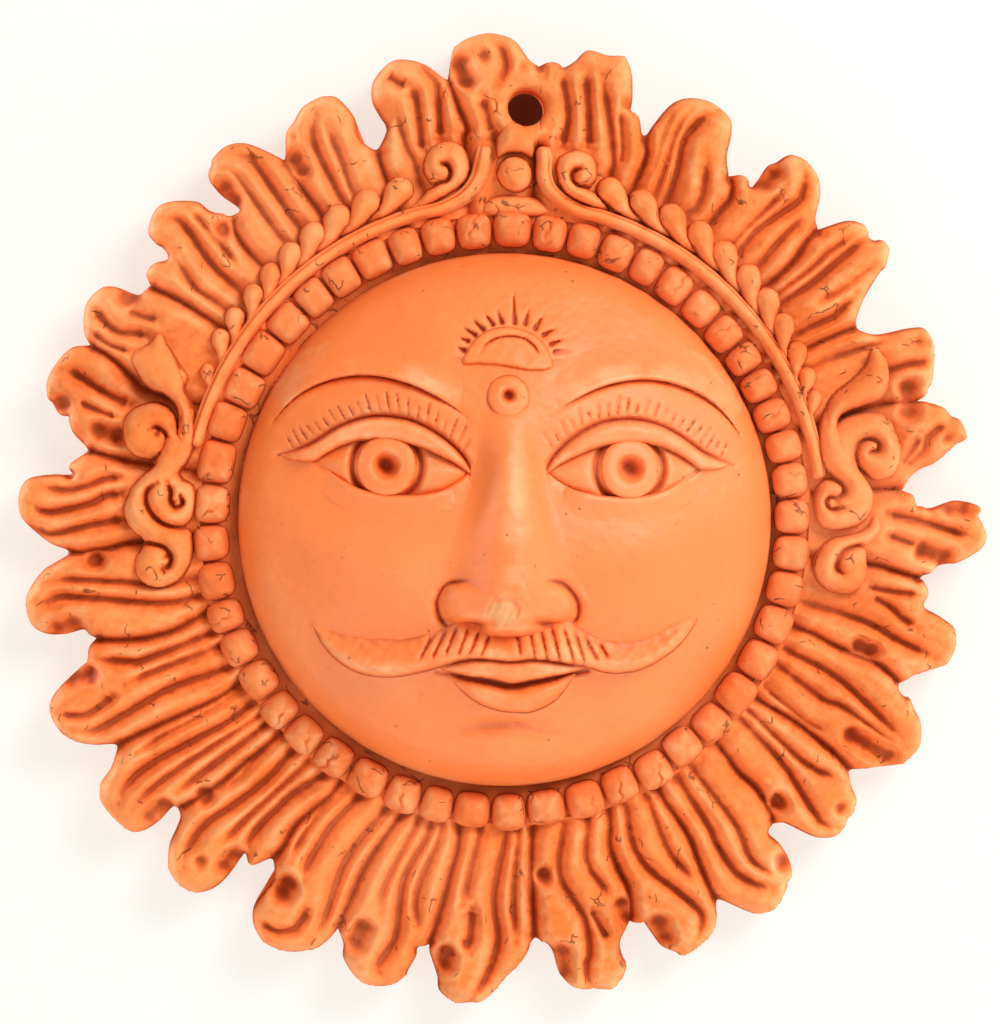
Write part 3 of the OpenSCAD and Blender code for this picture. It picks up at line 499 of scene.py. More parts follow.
RIM_STROKES = [rim_stroke(kind, words) for kind, *words in table_lines("""
pit -5.6,455 -5.3,440
main -1.6,478 -.4,466 0,452 -.3,436 -1.4,380
dimple -2.8,461
main -3,420 -2.4,405 -1.7,388
crack .4,441 1.7,428
dimple 2.4,449
faint 6.1,454 6.3,438 6.6,420
main 7.4,450 7.6,435 8.8,405 8.8,378
main 10.2,452 12.2,395 12.4,382
main 12.2,452 15,405 16.8,374 17,360
line 15.6,424 17.4,388 17.8,372
dimple 16.2,432
deep 27.6,458 26.4,448 25.2,420 26.2,388 26.8,362
line 24.4,446 23.9,428 24.8,362
line 29.2,412 31,382 31.4,365 30.8,352
faint 22.6,445 22.2,425 22.6,375
pit 37.6,436 37.4,426
main 39.8,463 41.2,454 42.2,441 42.5,428 41,385 41,360
line 39.6,432 40.1,415 39.6,358
soft 45,410
line 44.4,430 44.6,380 45,358
main 52.6,462 52,445 52.3,388 52,356
line 51,456 50.4,420 50.6,400 50.4,356
faint 55.6,455 55.4,435 55.6,410 55.2,385
main 57.4,415 58.2,385 57.8,360
dimple 66.6,450
line 69.2,456 69.3,444 68.9,430 68.6,400
line 64.6,430 64.6,410 63.8,365
pit 72,424 74.6,418
dimple 79.4,449
line 77.6,452 79,430 80.6,422 82.4,405
line 78.6,424 80.4,412 82,402
crack 82.8,409 84,406
pit 88.4,458 88.3,448
main 92,464 90.1,412 89.2,384
pit 94.8,440 94.1,420
line 93.6,415 93,400 92.4,385
line 100.2,420 100.5,388 100.4,372
crack 98.6,408 101,410 104,420 106,438 107.4,447
line 104.6,424 103.8,408 102.6,393 101.8,376
main 107.8,450 107,412 105.8,375 105.4,325
hole 109.8,388 109.8,378
crack 114.6,442 116,446
main 118.8,450 115.6,375 114.8,318
line 120,455 119,390 119.4,365 118.3,318
pit 121.8,450 121.8,410
line 123.4,388 123.8,362 122.9,312
dimple 130.6,443
main 132.8,454 133.6,440 133.4,424 131.3,370 130.4,318
line 127.6,425 129,388 128.2,318
pit 136.2,394
pit 140.8,442
line 142.4,446 143.6,432 144,415 142.9,380 143,322
deep 144.2,456 146.7,425 146.9,390 146.4,368 146.3,315
crack 148.4,425 149.8,424
main 156.4,464 154.6,455 153.7,434 157.2,384 158.3,362 158.3,340 157.4,318
pit 159.2,446 159.2,434
line 152.2,410 153.7,370 153,320
pit 162.8,414 162.9,404
main 168.4,480 169.7,468 169.6,452 168.9,438 168.8,406 171,368 171,345 169,312
pit 172.7,455 172.6,438
line 166.2,432 167,416 167.6,400
line 164.4,392 166.5,352 164.8,316
hole 173.9,358
deep 184.2,484 182.1,452 181,418 181.7,376 179.6,312
pit 188,446 187.8,438
main 186,430 184.9,420 184.8,392
line 186.2,385 185.9,360 184.6,314
line 178.6,420 178.8,375 177.6,318
main 194.6,476 195.9,462 194.8,430 195.8,375 194,330 193.6,314
pit 199.6,446 199.4,432
line 191.8,420 193.4,385 192,330
line 197.8,408 198.3,385 196.2,316
line 211.8,468 209.4,469 207.6,460 207,446 207,436
pit 211,432 210.9,424
main 204.8,460 204.4,440 205.1,374 202.4,314
main 209.4,410 209.9,392 209.6,350 207.9,314
line 212.8,400 212.6,348 210.6,312
pit 218.9,442 218.8,432
dimple 222,455
deep 223,470 224.1,456 224.6,424 223.4,385 222.7,355 222.6,325
main 217.8,418 218.8,402 218,352 215.6,314
line 221,430 221.2,410 219.6,330
pit 227.6,406
line 226.6,392 226.1,366 226.8,322
pit 230,460 230,446
deep 233.8,478 235,462 235.5,425 234.1,350 234,322
line 232.4,470 232.9,425 231.6,318
main 230.4,424 229.7,342 229.6,318
line 238,432 238,400 237.4,350 237.4,322
deep 244.2,478 243.2,464 242.9,445 243.4,378 242.2,322
line 246.8,484 245.7,470 245.2,454 245.9,428
pit 250,458 249.7,442
main 251.6,434 249.5,400 248.9,384 249,320
line 246.8,410 246.8,385 246.4,325
pit 256.3,456 256.4,444
main 260,478 260,462 260.3,448 259.9,432 257.2,368 256.2,342 256.2,316
line 262.4,462 262.4,440 260.4,370 259.8,345
pit 264.8,410
soft 266.2,388
main 270,478 268.8,462 268.4,448 269.4,412 270.3,380
main 272.2,472 271.1,455 272.2,416 273.4,400 274,384
line 274.4,462 274,440 274.6,420 275.8,402 276.4,386
nick 276.1,435
pit 282.5,412 282.4,398
pit 284.7,456
soft 281,430
deep 288.9,463 288.8,448 287.5,410 287.3,392
line 285.6,440 285.2,420 284.8,402
main 297.4,462 296,430 297.4,403
pit 300.7,436
line 294.6,452 294,430 294.2,412
line 299,430 299.4,412 300,400
nick 307.6,429
deep 311.2,455 312.5,441 312.4,424 311.2,390 310.9,356
line 308.6,420 307,386 307,358
line 314.6,440 314.2,400 313.8,375
pit 316,403
pit 319.8,430 319.8,418
deep 322.8,458 324.2,446 324.9,430 324.9,358
line 321.4,446 322,430 321.6,360
line 327.6,410 328.5,375 328.8,360
pit 329.8,414 329.7,404
deep 334.8,444 333.6,430 333,412 333,358
bump 337.6,412
line 335.4,430 335.6,405 335,362
faint 331.6,440 331,425 331,405
line 345,457 346.2,447 347,443
deep 349,464 350.4,450 351,434 350.4,386
main 347.4,442 348,426 347.4,378
soft 343.8,420
line 345,425 345.2,385 345.8,366
""")]


def left_border(i):
    """Left border of a flame, from its root to its notch."""
    root, between = BORDERS[i % FLAME_COUNT]
    points = np.vstack([[root, FLAME_ROOT_R], between, OUTLINES[i % FLAME_COUNT][:1] - EDGE_INSET])
    return resample(spline(photo_points(points), 12), 0.55)


def flame_outline(i):
    """Outer edge of a flame from its left notch over its tip to its right notch, kept in the CAD box."""
    rows = np.vstack([OUTLINES[i % FLAME_COUNT], OUTLINES[(i + 1) % FLAME_COUNT][:1]])
    edge = resample(spline(photo_points(rows - EDGE_INSET), 10), 0.5)
    return np.clip(edge, BOX_LOW, BOX_HIGH)


EDGES = [flame_outline(i) for i in range(FLAME_COUNT)]
RIM_STROKES += [("border", left_border(i)[:-3]) for i in range(FLAME_COUNT)]


def flame_rim(i):
    """Closed outline of a flame: root, right border, outer edge and left border."""
    left, right = left_border(i), left_border(i + 1)
    turns = np.degrees(np.arctan2(*np.stack([left[0], right[0]]).T))
    turns[1] += 360 if turns[1] < turns[0] else 0
    root = polar(np.linspace(*turns, 24), FLAME_ROOT_R * PHOTO_MM)
    return np.vstack([root[1:-1], right[:-1], EDGES[i][::-1][:-1], left[::-1]])


# Heights of a flame: its crest, the crest's fall to the root and rise to the tip, edge, and lowest grooves
CREST_Z, ROOT_FALL, TIP_RISE, EDGE_Z, GROOVE_Z = 13.6, 2.6, 3.2, 8.4, 7.8
EDGE_ROUND = 5.6
# The clay around the nail hole: its height, and the fall and radius of its rounded mouth
BOSS_Z, BOSS_FALL, BOSS_ROUND = 15.4, 3.2, 3.0


def rim_z(x, y, i):
    """Height of the rim's relief at points of one flame."""
    radius = np.hypot(x, y)
    seat = np.interp(np.degrees(np.arctan2(x, y)) % 360, SEATS[:, 0], SEATS[:, 1] * PHOTO_MM)
    open_rim = smoothstep(seat - 5.0, seat + 5.5, radius)
    crest = CREST_Z + TIP_RISE * smoothstep(82, 112, radius) - ROOT_FALL * smoothstep(84, 78.4, radius)
    crest = SEAT_Z + (crest + 0.4 * ripple(x, y, 14, 3) - SEAT_Z) * open_rim
    edge = np.vstack([EDGES[(i + k) % FLAME_COUNT] for k in (-1, 0, 1)])
    lip = round_over(nearest(x, y, edge)[0], EDGE_ROUND)
    depth = (0.65 + 0.35 * open_rim) * (0.5 + 0.5 * lip) * (0.76 + 0.24 * smoothstep(82, 100, radius))
    z = EDGE_Z + (crest - EDGE_Z) * lip - carve(x, y, RIM_STROKES) * depth
    to_hole = np.hypot(*(np.stack([x, y]) - polar(HOLE_A, HOLE_R)[:, None])) - HOLE_D / 2
    around = smoothstep(7.0, 2.5, to_hole)
    boss = BOSS_Z - BOSS_FALL * (1 - round_over(np.maximum(to_hole, 0), BOSS_ROUND))
    z = z * (1 - around) + around * boss
    z = z + 0.12 * ripple(x, y, 3.5, 5) + 0.05 * ripple(x, y, 1.3, 6)
    return soft_max(z, GROOVE_Z, 0.8)


# Materials

class Nodes:
    """Node tree of a new material. What feeds a socket is a constant or another node's output."""

    def __init__(self, name):
        self.material = bpy.data.materials.new(name)
        self.material.use_nodes = True
        self.tree = self.material.node_tree
        self.shader = self.tree.nodes["Principled BSDF"]
        self.place = self.add("ShaderNodeTexCoord").outputs["Object"]

    def add(self, kind, **settings):
        node = self.tree.nodes.new(kind)
        for key, value in settings.items():
            setattr(node, key, value)
        return node

    def feed(self, node, **values):
        for key, value in values.items():
            self.plug(node.inputs[key.replace("_", " ")], value)

    def plug(self, socket, value):
        if isinstance(value, bpy.types.NodeSocket):
            self.tree.links.new(value, socket)
        else:
            socket.default_value = (*value, 1) if socket.type == "RGBA" else value

    def texture(self, kind, output, feature=None, **values):
        node = self.add(kind, feature=feature) if feature else self.add(kind)
        self.feed(node, **{"Vector": self.place, **values})
        return node.outputs[output]

    def noise(self, scale, detail, roughness=0.55):
        return self.texture("ShaderNodeTexNoise", "Fac", Scale=scale, Detail=detail, Roughness=roughness)

    def ramp(self, source, *stops):
        node = self.add("ShaderNodeValToRGB")
        elements = node.color_ramp.elements
        while len(elements) < len(stops):
            elements.new(0.5)
        for element, (at, colour) in zip(elements, stops):
            element.position = at
            element.color = (*colour, 1) if isinstance(colour, tuple) else (colour, colour, colour, 1)
        self.feed(node, Fac=source)
        return node.outputs["Color"]

    def mix(self, share, first, second, blend="MIX"):
        node = self.add("ShaderNodeMix", data_type="RGBA", blend_type=blend)
        self.feed(node, Factor=share, A=first, B=second)
        return node.outputs["Result"]

    def mix_shader(self, share, first, second):
        return self.operate("ShaderNodeMixShader", (share, first, second), "Shader")

    def operate(self, kind, values, output, **settings):
        node = self.add(kind, **settings)
        for socket, value in zip(node.inputs, values):
            self.plug(socket, value)
        return node.outputs[output]

    def calculate(self, operation, *values):
        return self.operate("ShaderNodeMath", values, "Value", operation=operation)

    def measure(self, operation, *values):
        return self.operate("ShaderNodeVectorMath", values, "Value", operation=operation)


FIRED_CLAY = np.array([0.930, 0.200, 0.044])
DARKER, PALER = np.array([-0.14, -0.056, -0.018]), np.array([0.04, 0.05, 0.022])
# Pale colour of rubbed wear on crests, used also as a painted highlight
RUBBED_AND_HIGHLIGHT_CLAY = (0.90, 0.43, 0.18)
PALE_CLAY = (0.93, 0.34, 0.13)
POWDER = (0.82, 0.36, 0.13)
SANDY_INSIDE = (0.82, 0.38, 0.12)
# Painted shade inside pinholes and hair cracks
HOLE_SHADE = (0.17, 0.03, 0.008)
WHITE = (1, 1, 1)


def clay_colour(tree, relief, tint, dust_and_highlight, mottle):
    """Mottled body, specks, painted shade in hollows, wear and painted highlight on crests, paler patches,
    powder.
    """
    shades = ((0.28, FIRED_CLAY + mottle * DARKER), (0.50, FIRED_CLAY), (0.75, FIRED_CLAY + mottle * PALER))
    stops = [(at, tuple(float(v) for v in shade * tint)) for at, shade in shades]
    colour = tree.ramp(tree.noise(38, 2 + 2 * mottle), *stops)
    specks = (0.36, (0.88, 0.78, 0.70)), (0.50, WHITE), (0.70, (1.06, 1.08, 1.1))
    speck = tree.ramp(tree.noise(420, 3), *specks)
    colour = tree.mix(0.6 * mottle, colour, speck, "MULTIPLY")
    # Painted shade: darker, redder clay where the relief sinks into hollows and grooves
    painted_hollow_shade = tree.ramp(relief, (0.0, (0.42, 0.24, 0.16)), (0.22, (0.70, 0.46, 0.34)), (0.47, WHITE))
    colour = tree.mix(0.9, colour, painted_hollow_shade, "MULTIPLY")
    patchy = tree.ramp(tree.noise(60, 5, 0.65), (0.40, 0), (0.64, 1))
    # Pale crests where the relief stands up: rubbed wear and a painted highlight; the dust amount also sets
    # how much
    rubbed_and_highlight = tree.calculate("MULTIPLY", tree.ramp(relief, (0.53, 0), (0.84, 1)), patchy)
    colour = tree.mix(tree.calculate("MULTIPLY", rubbed_and_highlight, dust_and_highlight), colour, RUBBED_AND_HIGHLIGHT_CLAY)
    colour = tree.mix(tree.ramp(tree.noise(17, 2), (0.46, 0), (0.72, 0.45)), colour, PALE_CLAY)
    powder = tree.ramp(tree.noise(24, 6, 0.7), (0.60, 0), (0.74, 1))
    return tree.mix(tree.calculate("MULTIPLY", powder, 0.35 * dust_and_highlight), colour, POWDER)


def chipped(tree, colour, chip):
    """Colour with the sandy inside of the clay at a place where its skin has come off."""
    x, y, z = chip
    away = tree.measure("DISTANCE", tree.place, (x * MM, -z * MM, y * MM))
    uneven = tree.calculate("MULTIPLY_ADD", tree.noise(260, 3, 0.6), 0.010, away)
    bare = tree.ramp(tree.calculate("MULTIPLY", uneven, 100), (0.78, 0.75), (0.96, 0))
    return tree.mix(bare, colour, SANDY_INSIDE)


def pinholes(tree):
    distance = tree.texture("ShaderNodeTexVoronoi", "Distance", "F1", Scale=330)
    groups = tree.ramp(tree.noise(130, 2), (0.60, 0), (0.67, 1))
    return tree.calculate("MULTIPLY", tree.ramp(distance, (0.06, 1), (0.16, 0)), groups)


def hair_cracks(tree, sparseness):
    """Short wandering cracks between the cells of a Voronoi pattern."""
    bend = tree.texture("ShaderNodeTexNoise", "Color", Scale=240)
    reach = (0.004, 0.004, 0.004)
    wander = tree.operate("ShaderNodeVectorMath", (bend, reach, tree.place), "Vector",
                          operation="MULTIPLY_ADD")
    edge = tree.texture("ShaderNodeTexVoronoi", "Distance", "DISTANCE_TO_EDGE", Scale=130, Vector=wander)
    some = tree.ramp(tree.noise(190, 1), (sparseness, 0), (sparseness + 0.06, 1))
    return tree.calculate("MULTIPLY", tree.ramp(edge, (0.010, 1), (0.034, 0)), some)


def terracotta(name, tint, dust_and_highlight, mottle=1.0, gloss=0.3, cracks=None, chip=None):
    """Matt low-fired clay with fine grain and pinholes; cracks and a chip where they are given."""
    tree = Nodes(name)
    relief = tree.add("ShaderNodeAttribute", attribute_name="relief").outputs["Fac"]
    colour = clay_colour(tree, tree.calculate("MULTIPLY_ADD", relief, 0.5, 0.5), tint, dust_and_highlight, mottle)
    if chip:
        colour = chipped(tree, colour, chip)
    holes = pinholes(tree)
    if cracks:
        holes = tree.calculate("MAXIMUM", holes, hair_cracks(tree, cracks))
    coarse = tree.calculate("MULTIPLY", tree.noise(170, 3), 0.7)
    grain = tree.calculate("MULTIPLY_ADD", tree.noise(900, 4, 0.6), 0.3, coarse)
    bump = tree.add("ShaderNodeBump")
    tree.feed(bump, Strength=0.55, Distance=0.0007, Height=tree.calculate("MULTIPLY_ADD", holes, -0.8, grain))
    # Painted shade: pinholes and cracks are darkened in the base colour
    tree.feed(tree.shader, Base_Color=tree.mix(tree.calculate("MULTIPLY", holes, 0.75), colour, HOLE_SHADE),
              Roughness=tree.ramp(tree.noise(85, 3), (0.35, 0.80 - 0.4 * gloss), (0.7, 0.98 - 0.5 * gloss)),
              Specular_IOR_Level=gloss, Normal=bump.outputs["Normal"])
    return tree.material


NOSE_CHIP = (-1.7, -21.8, 50.2)
SKIN = {"tint": (1.02, 1.06, 0.78), "dust_and_highlight": 0.85, "mottle": 0.25, "gloss": 0.75}
RIM_CLAY = terracotta("terracotta_rim", tint=(0.97, 1.09, 0.99), dust_and_highlight=0.7, cracks=0.62)
FACE_CLAY = terracotta("terracotta_face", **SKIN)
NOSE_CLAY = terracotta("terracotta_nose", **SKIN, chip=NOSE_CHIP)
BEAD_CLAY = terracotta("terracotta_beads", tint=(0.88, 0.89, 0.84), dust_and_highlight=0.7, mottle=0.8, cracks=0.57)
BACK_CLAY = terracotta("terracotta_back", tint=(0.92, 0.90, 0.86), dust_and_highlight=0.2)


def cut_nail_hole(obj):
    """Bores the nail hole through a piece, with a real round cutter."""
    middle = polar(HOLE_A, HOLE_R) * MM
    radius = HOLE_D / 2 * MM
    mesh = bpy.data.meshes.new("cutter")
    work = bmesh.new()
    bmesh.ops.create_cone(work, cap_ends=True, segments=72, radius1=radius, radius2=radius, depth=0.08)
    bmesh.ops.rotate(work, verts=work.verts, matrix=Matrix.Rotation(math.pi / 2, 3, "X"))
    bmesh.ops.translate(work, verts=work.verts, vec=(middle[0], 0, middle[1]))
    work.to_mesh(mesh)
    work.free()
    cutter = bpy.data.objects.new("cutter", mesh)
    bpy.context.scene.collection.objects.link(cutter)
    modifier = obj.modifiers.new("nail hole", "BOOLEAN")
    modifier.object = cutter
    modifier.operation = "DIFFERENCE"
    modifier.solver = "EXACT"
    bpy.context.view_layer.update()
    result = bpy.data.meshes.new_from_object(obj.evaluated_get(bpy.context.evaluated_depsgraph_get()))
    obj.modifiers.clear()
    old = obj.data
    obj.data = result
    bpy.data.meshes.remove(old)
    bpy.data.objects.remove(cutter)
    bpy.data.meshes.remove(mesh)


FLAME_SPACING = 0.46
FLAMES_AT_HOLE = (0, 1)


def build_flames():
    for i in range(FLAME_COUNT):
        clay = Clay().add_relief(flame_rim(i), lambda x, y, edge: rim_z(x, y, i), SLAB_T, FLAME_SPACING)
        flame = clay.piece(f"flame_{i + 1:02d}", RIM_CLAY)
        if i in FLAMES_AT_HOLE:
            cut_nail_hole(flame)


# Slab

# Inset from the flames' edge and height of each ring of the slab's edge, from its top to its back
SLAB_EDGE = ((0.5, SLAB_T), (0.15, 5.0), (0.3, 2.2), (1.0, 0.7), (2.2, 0.05))
BACK_RINGS = 24
LEAST_TURN = 0.0008


def build_slab():
    """Backing slab: scalloped edge with a soft lower arris, thumb marks on the back, open behind the face."""
    edge = np.vstack([e[:-1] for e in EDGES])
    turn = np.unwrap(np.arctan2(edge[:, 0], edge[:, 1]))
    ahead = np.concatenate([[True], turn[1:] > np.maximum.accumulate(turn)[:-1] + LEAST_TURN])
    edge = edge[ahead & (turn < turn[0] + 2 * math.pi - LEAST_TURN)]
    radius = np.hypot(edge[:, 0], edge[:, 1])
    out = edge / radius[:, None]
    count = len(out)

    def ring(r, z):
        return np.column_stack([out * np.broadcast_to(r, count)[:, None], np.broadcast_to(z, count)])

    rings = [ring(OPENING_R + 0.5, SLAB_T)] + [ring(radius - inset, z) for inset, z in SLAB_EDGE]
    for share in np.linspace(0, 1, BACK_RINGS)[1:]:
        r = (radius - 3.0) * (1 - share) + (OPENING_R + 1.2) * share
        x, y = (out * r[:, None]).T
        marks = 0.32 + 0.22 * ripple(x, y, 22, 31) + 0.10 * ripple(x, y, 7, 32)
        rings.append(ring(r, np.clip(marks, 0, 1) * smoothstep(0, 0.12, share)))
    rings += [ring(OPENING_R, 1.1), ring(OPENING_R, SLAB_T - 0.6)]
    clay = Clay().add(np.vstack(rings), ring_faces(len(rings), count))
    cut_nail_hole(clay.piece("back_slab", BACK_CLAY))


# Face

# Swellings on both sides of the face: rise, then distance from the middle, its spread, height and its spread
SWELLINGS = {
    "eye hollow": (-2.4, 29, 15, 13, 8),
    "beside the bridge": (-1.6, 10, 4, 12, 7),
    "cheek": (1.5, 31, 12, -12, 10),
    "mouth": (1.8, 0, 17, -40, 9),
    "mouth corner": (-1.5, 21, 5, -42, 5),
    "brow": (0.8, 30, 15, 31, 5),
}
CHIN_RISE, CHIN_CREASE = 2.8, 2.2


def dome_z(x, y):
    r = np.minimum(np.hypot(x, y), FACE_R)
    crown = CROWN_Z + np.sqrt(CROWN_R ** 2 - np.minimum(r, CROWN_EDGE) ** 2)
    past = np.maximum(r - (FACE_R - SHOULDER_R), 0)
    shoulder = SLAB_T + np.sqrt(np.maximum(SHOULDER_R ** 2 - past ** 2, 0))
    return np.where(r <= CROWN_EDGE, crown, shoulder)


def skin_z(x, y):
    """The face before its features are put on: dome, eye hollows, cheeks, mouth mound and chin."""
    z = dome_z(x, y)
    radius = np.hypot(x, y)
    inner = smoothstep(FACE_R, FACE_R - 9, radius)
    for rise, out, breadth, up, height in SWELLINGS.values():
        z = z + rise * bell(np.abs(x) - out, breadth) * bell(y - up, height) * inner
    z = z + CHIN_RISE * bell(x + 1, 10) * bell(y + 60, 5.5) * smoothstep(FACE_R + 1, FACE_R - 7, radius)
    z = z - CHIN_CREASE * bell(x + 2.5, 8) * bell(y + 51 + 0.012 * (x + 2) ** 2, 1.6)
    marks = 0.18 * ripple(x, y, 18, 11) + 0.05 * ripple(x, y, 3, 12) + 0.02 * ripple(x, y, 1.2, 13)
    return z + marks * inner


def below_skin(depth):
    return lambda x, y: skin_z(x, y) - depth


# Outlines and strokes of the features in millimetres; those of the eye are for the right one
FACE_LINES = {name: numbers(words) for name, *words in table_lines("""
eye_opening 9.8,12.8 13,15.4 17.5,17.8 23,19.8 30,20.8 37,20.2 41.5,18.6 45.4,16.4 49,13.6 45,10.4 40,7.4
+ 33,6 26,6 19,7.2 14,9.4
lid_edge 9.4,12.4 13.1,14.7 17.5,16.9 23,18.9 30.2,19.9 36.9,19.3 41.3,17.8 45.2,15.6 47.9,13.6 50.7,13
+ 54.6,13.4
lid_crease 58,14.4 53.8,15.7 49.1,17.9 43.5,21.8 38,24.5 32.5,25.8 26.9,25.7 22.5,24.7 17.5,22.1 13.4,18.8
+ 10.6,15.4
eye_line 9.6,12 11.4,11.2 15,9 20,7.6 26,6.8 32,6.7 38,7.8 43,10.2 47.4,13.2
under_eye 50.5,13 48,7 41.5,1.5 32,-1.5 24,-1 16,2.5 11,8
brow 10.2,26.4 15.9,30.4 24.2,34.2 32.5,35.8 39.6,35.4 46.3,33.4 51.8,30.4 56.2,26.5 59.4,22.3
rays -11.7,40.3 -14.6,41.7 -11,43.3 -12.8,44.2 -10,45.6 -12.2,46.6 -8.2,47.1 -11.4,49.3 -6.2,48.6 -9,51.3
+ -3.7,49.8 -5.7,52.7 -1.4,50.4 -2.6,53.6 1.8,50.3 1.7,58 4.5,50 5.5,53.9 7,48.8 9.2,52.4 9.1,47.1
+ 12.2,48.9 11,44.8 14.4,46.3 12,42.8 15.9,43.3 11.9,40.2 16.6,40.1
half_sun -11.4,40 -10.4,43.1 -8.2,46.2 -5,48.4 -0.5,49.4 4,48.6 7.5,46.8 10,43.8 11.3,39 6,38.3 0,39.2
+ -6,39.9
arch -7,42.8 -5.5,44.7 -3,46.2 0.5,46.8 4,46.2 6.2,44.6 7.4,42.8
moustache -49.3,-25.2 -46.5,-26.5 -41.1,-28.1 -34,-29.1 -26,-28.8 -19.8,-27.4 -15.3,-25.6 -12.7,-24.1
+ -9.1,-24.5 -5.5,-25.6 -2,-26.8 1.6,-26.3 5.1,-25 10.5,-24.1 14.9,-24.1 18.5,-26.5 22.9,-28.8 28.2,-30
+ 33.6,-29.4 38,-27.9 42.5,-25.6 48.3,-23.6 46.5,-27.6 42.5,-32.1 37.1,-35.6 32.7,-37.4 28.2,-38
+ 23.8,-37.6 18.5,-35.9 14,-35 9.6,-34.3 5.1,-34 .7,-34.5 -3.8,-34.1 -8.2,-33.8 -12.7,-34.5 -17.1,-36.1
+ -22.4,-37.7 -26.9,-38.6 -31.8,-38.9 -37.6,-38 -42.9,-35 -46.5,-31.2 -48.7,-27.2
hairs -18.6,-27.6 -22,-33.4 -15.4,-26.2 -19,-33.4 -12.7,-25.4 -15.8,-32.5 -10,-25.8 -12.7,-32.5 -7.3,-26.7
+ -10,-32.5 -4.7,-27.6 -6.9,-32.5 2,-27.2 2.9,-32.5 5.1,-26.3 6.5,-33.4 7.8,-25.8 9.6,-33.8 10.5,-25.4
+ 12.7,-33.8 13.6,-25.8 16.2,-34.3 16.7,-27.2 18.9,-34.7 19.4,-29 22,-33.8 22.9,-30.3 24.9,-33.4
upper_lip -17.5,-36.2 -11.8,-34 -5.5,-33.4 0.7,-34 6.9,-33.5 13.1,-34.5 20,-36.1 15.8,-37.6 10.5,-38.6
+ 6,-39.4 0.7,-40.2 -4.7,-39.1 -10.9,-38.2
lower_lip -15.4,-38.2 -10.9,-38.9 -4.7,-40 0.7,-41.1 6,-40.2 11.3,-39.2 17,-37.9 14.9,-41.6 11.8,-45.2
+ 6.9,-47.7 2.5,-48.1 -2.9,-47.4 -8.2,-45.2 -12.4,-41.7
mouth -18,-37.2 -9,-38.6 0.7,-40.6 9,-39.2 20,-37
wing_right 9.6,-13.7 13.8,-15.2 17,-19 17.4,-22.7 16.2,-25
wing_left -10.6,-13.8 -15.6,-15.2 -17.8,-19.2 -17.2,-23.2 -15.6,-25.4
pupil 30.4,13.7
pip 0.2,23.6
dot_middle 0,31.9
""")}
LID_CORNER = (9.2, 11.6)
LASH_SPACING, LASH_LENGTH = 2.15, 5.0
WING_CREASES = [stroke("alar", FACE_LINES[wing]) for wing in ("wing_right", "wing_left")]
DOT_HOLLOW = ("eye", FACE_LINES["dot_middle"])
LEFT_EYE_RISE = 0.07


def eye_place(side):
    """Turns rows of eye coordinates, given for the right eye, into plan coordinates for one side."""
    def place(*rows):
        rows = np.vstack(rows)
        rows[:, 1] += LEFT_EYE_RISE * np.maximum(rows[:, 0] - 20, 0) if side < 0 else 0
        rows[:, 0] *= side
        return rows
    return place


def face_strokes():
    """Rays, brows, lids, lashes, mouth, wings of the nose and the dots, as strokes in the dome."""
    rng = np.random.default_rng(29)
    strokes = [stroke("ray", ray) for ray in FACE_LINES["rays"].reshape(-1, 2, 2)]
    crease = FACE_LINES["lid_crease"]
    for side in (-1, 1):
        place = eye_place(side)
        strokes.append(stroke("crease", place(FACE_LINES["brow"])))
        strokes.append(stroke("lid", place(crease, LID_CORNER)))
        feet = resample(spline(crease, 10), LASH_SPACING)[2:-1]
        up = np.gradient(feet, axis=0) @ [[0, -1], [1, 0]] * 0.55 + [0.3, 0.25]
        length = rng.uniform(0.75, 1.3, (len(feet), 1)) * LASH_LENGTH / np.hypot(up[:, 0], up[:, 1])[:, None]
        strokes += [stroke("lash", place(foot, foot + rise)) for foot, rise in zip(feet, up * length)]
    strokes.append(stroke("mouth", FACE_LINES["mouth"]))
    return strokes + WING_CREASES + [("pip", FACE_LINES["pip"]), DOT_HOLLOW]


# Points across the grids of the dome's outside and inside; an inner step on the rim meets three outer ones
DOME_OUT, DOME_IN = 361, 121
DOME_CLUSTERING = 0.3
SOCKET_DEPTH = 4.5


def dome_outside():
    x, y = disc_grid(DOME_OUT, FACE_R, DOME_CLUSTERING)
    z = skin_z(x, y) - carve(x.ravel(), y.ravel(), face_strokes()).reshape(x.shape)
    for side in (-1, 1):
        sunk = np.abs(x - side * 30) < 21
        socket = closed_curve(eye_place(side)(FACE_LINES["eye_opening"]))
        inside = in_outline(np.stack([x[sunk], y[sunk]], 1), socket)
        z[sunk] -= SOCKET_DEPTH * inside * smoothstep(0, 1.2, nearest(x[sunk], y[sunk], socket)[0])
    z.ravel()[grid_rim(DOME_OUT, DOME_OUT)] = SLAB_T
    return x, y, z


def dome_inside():
    x, y = disc_grid(DOME_IN, OPENING_R, DOME_CLUSTERING)
    r = np.hypot(x, y)
    z = CROWN_Z + np.sqrt((CROWN_R - FACE_WALL) ** 2 - r ** 2)
    past = np.maximum(r - FACE_R + SHOULDER_R, 0)
    shoulder = SLAB_T + np.sqrt(np.maximum((SHOULDER_R - FACE_WALL) ** 2 - past ** 2, 0))
    z = np.where(r > FACE_R - SHOULDER_R, np.minimum(shoulder, z), z)
    marks = 0.5 * ripple(x, y, 15, 41) + 0.2 * ripple(x, y, 6, 42)
    z = z + marks * smoothstep(OPENING_R, 0.85 * OPENING_R, r)
    z.ravel()[grid_rim(DOME_IN, DOME_IN)] = SLAB_T
    return x, y, z


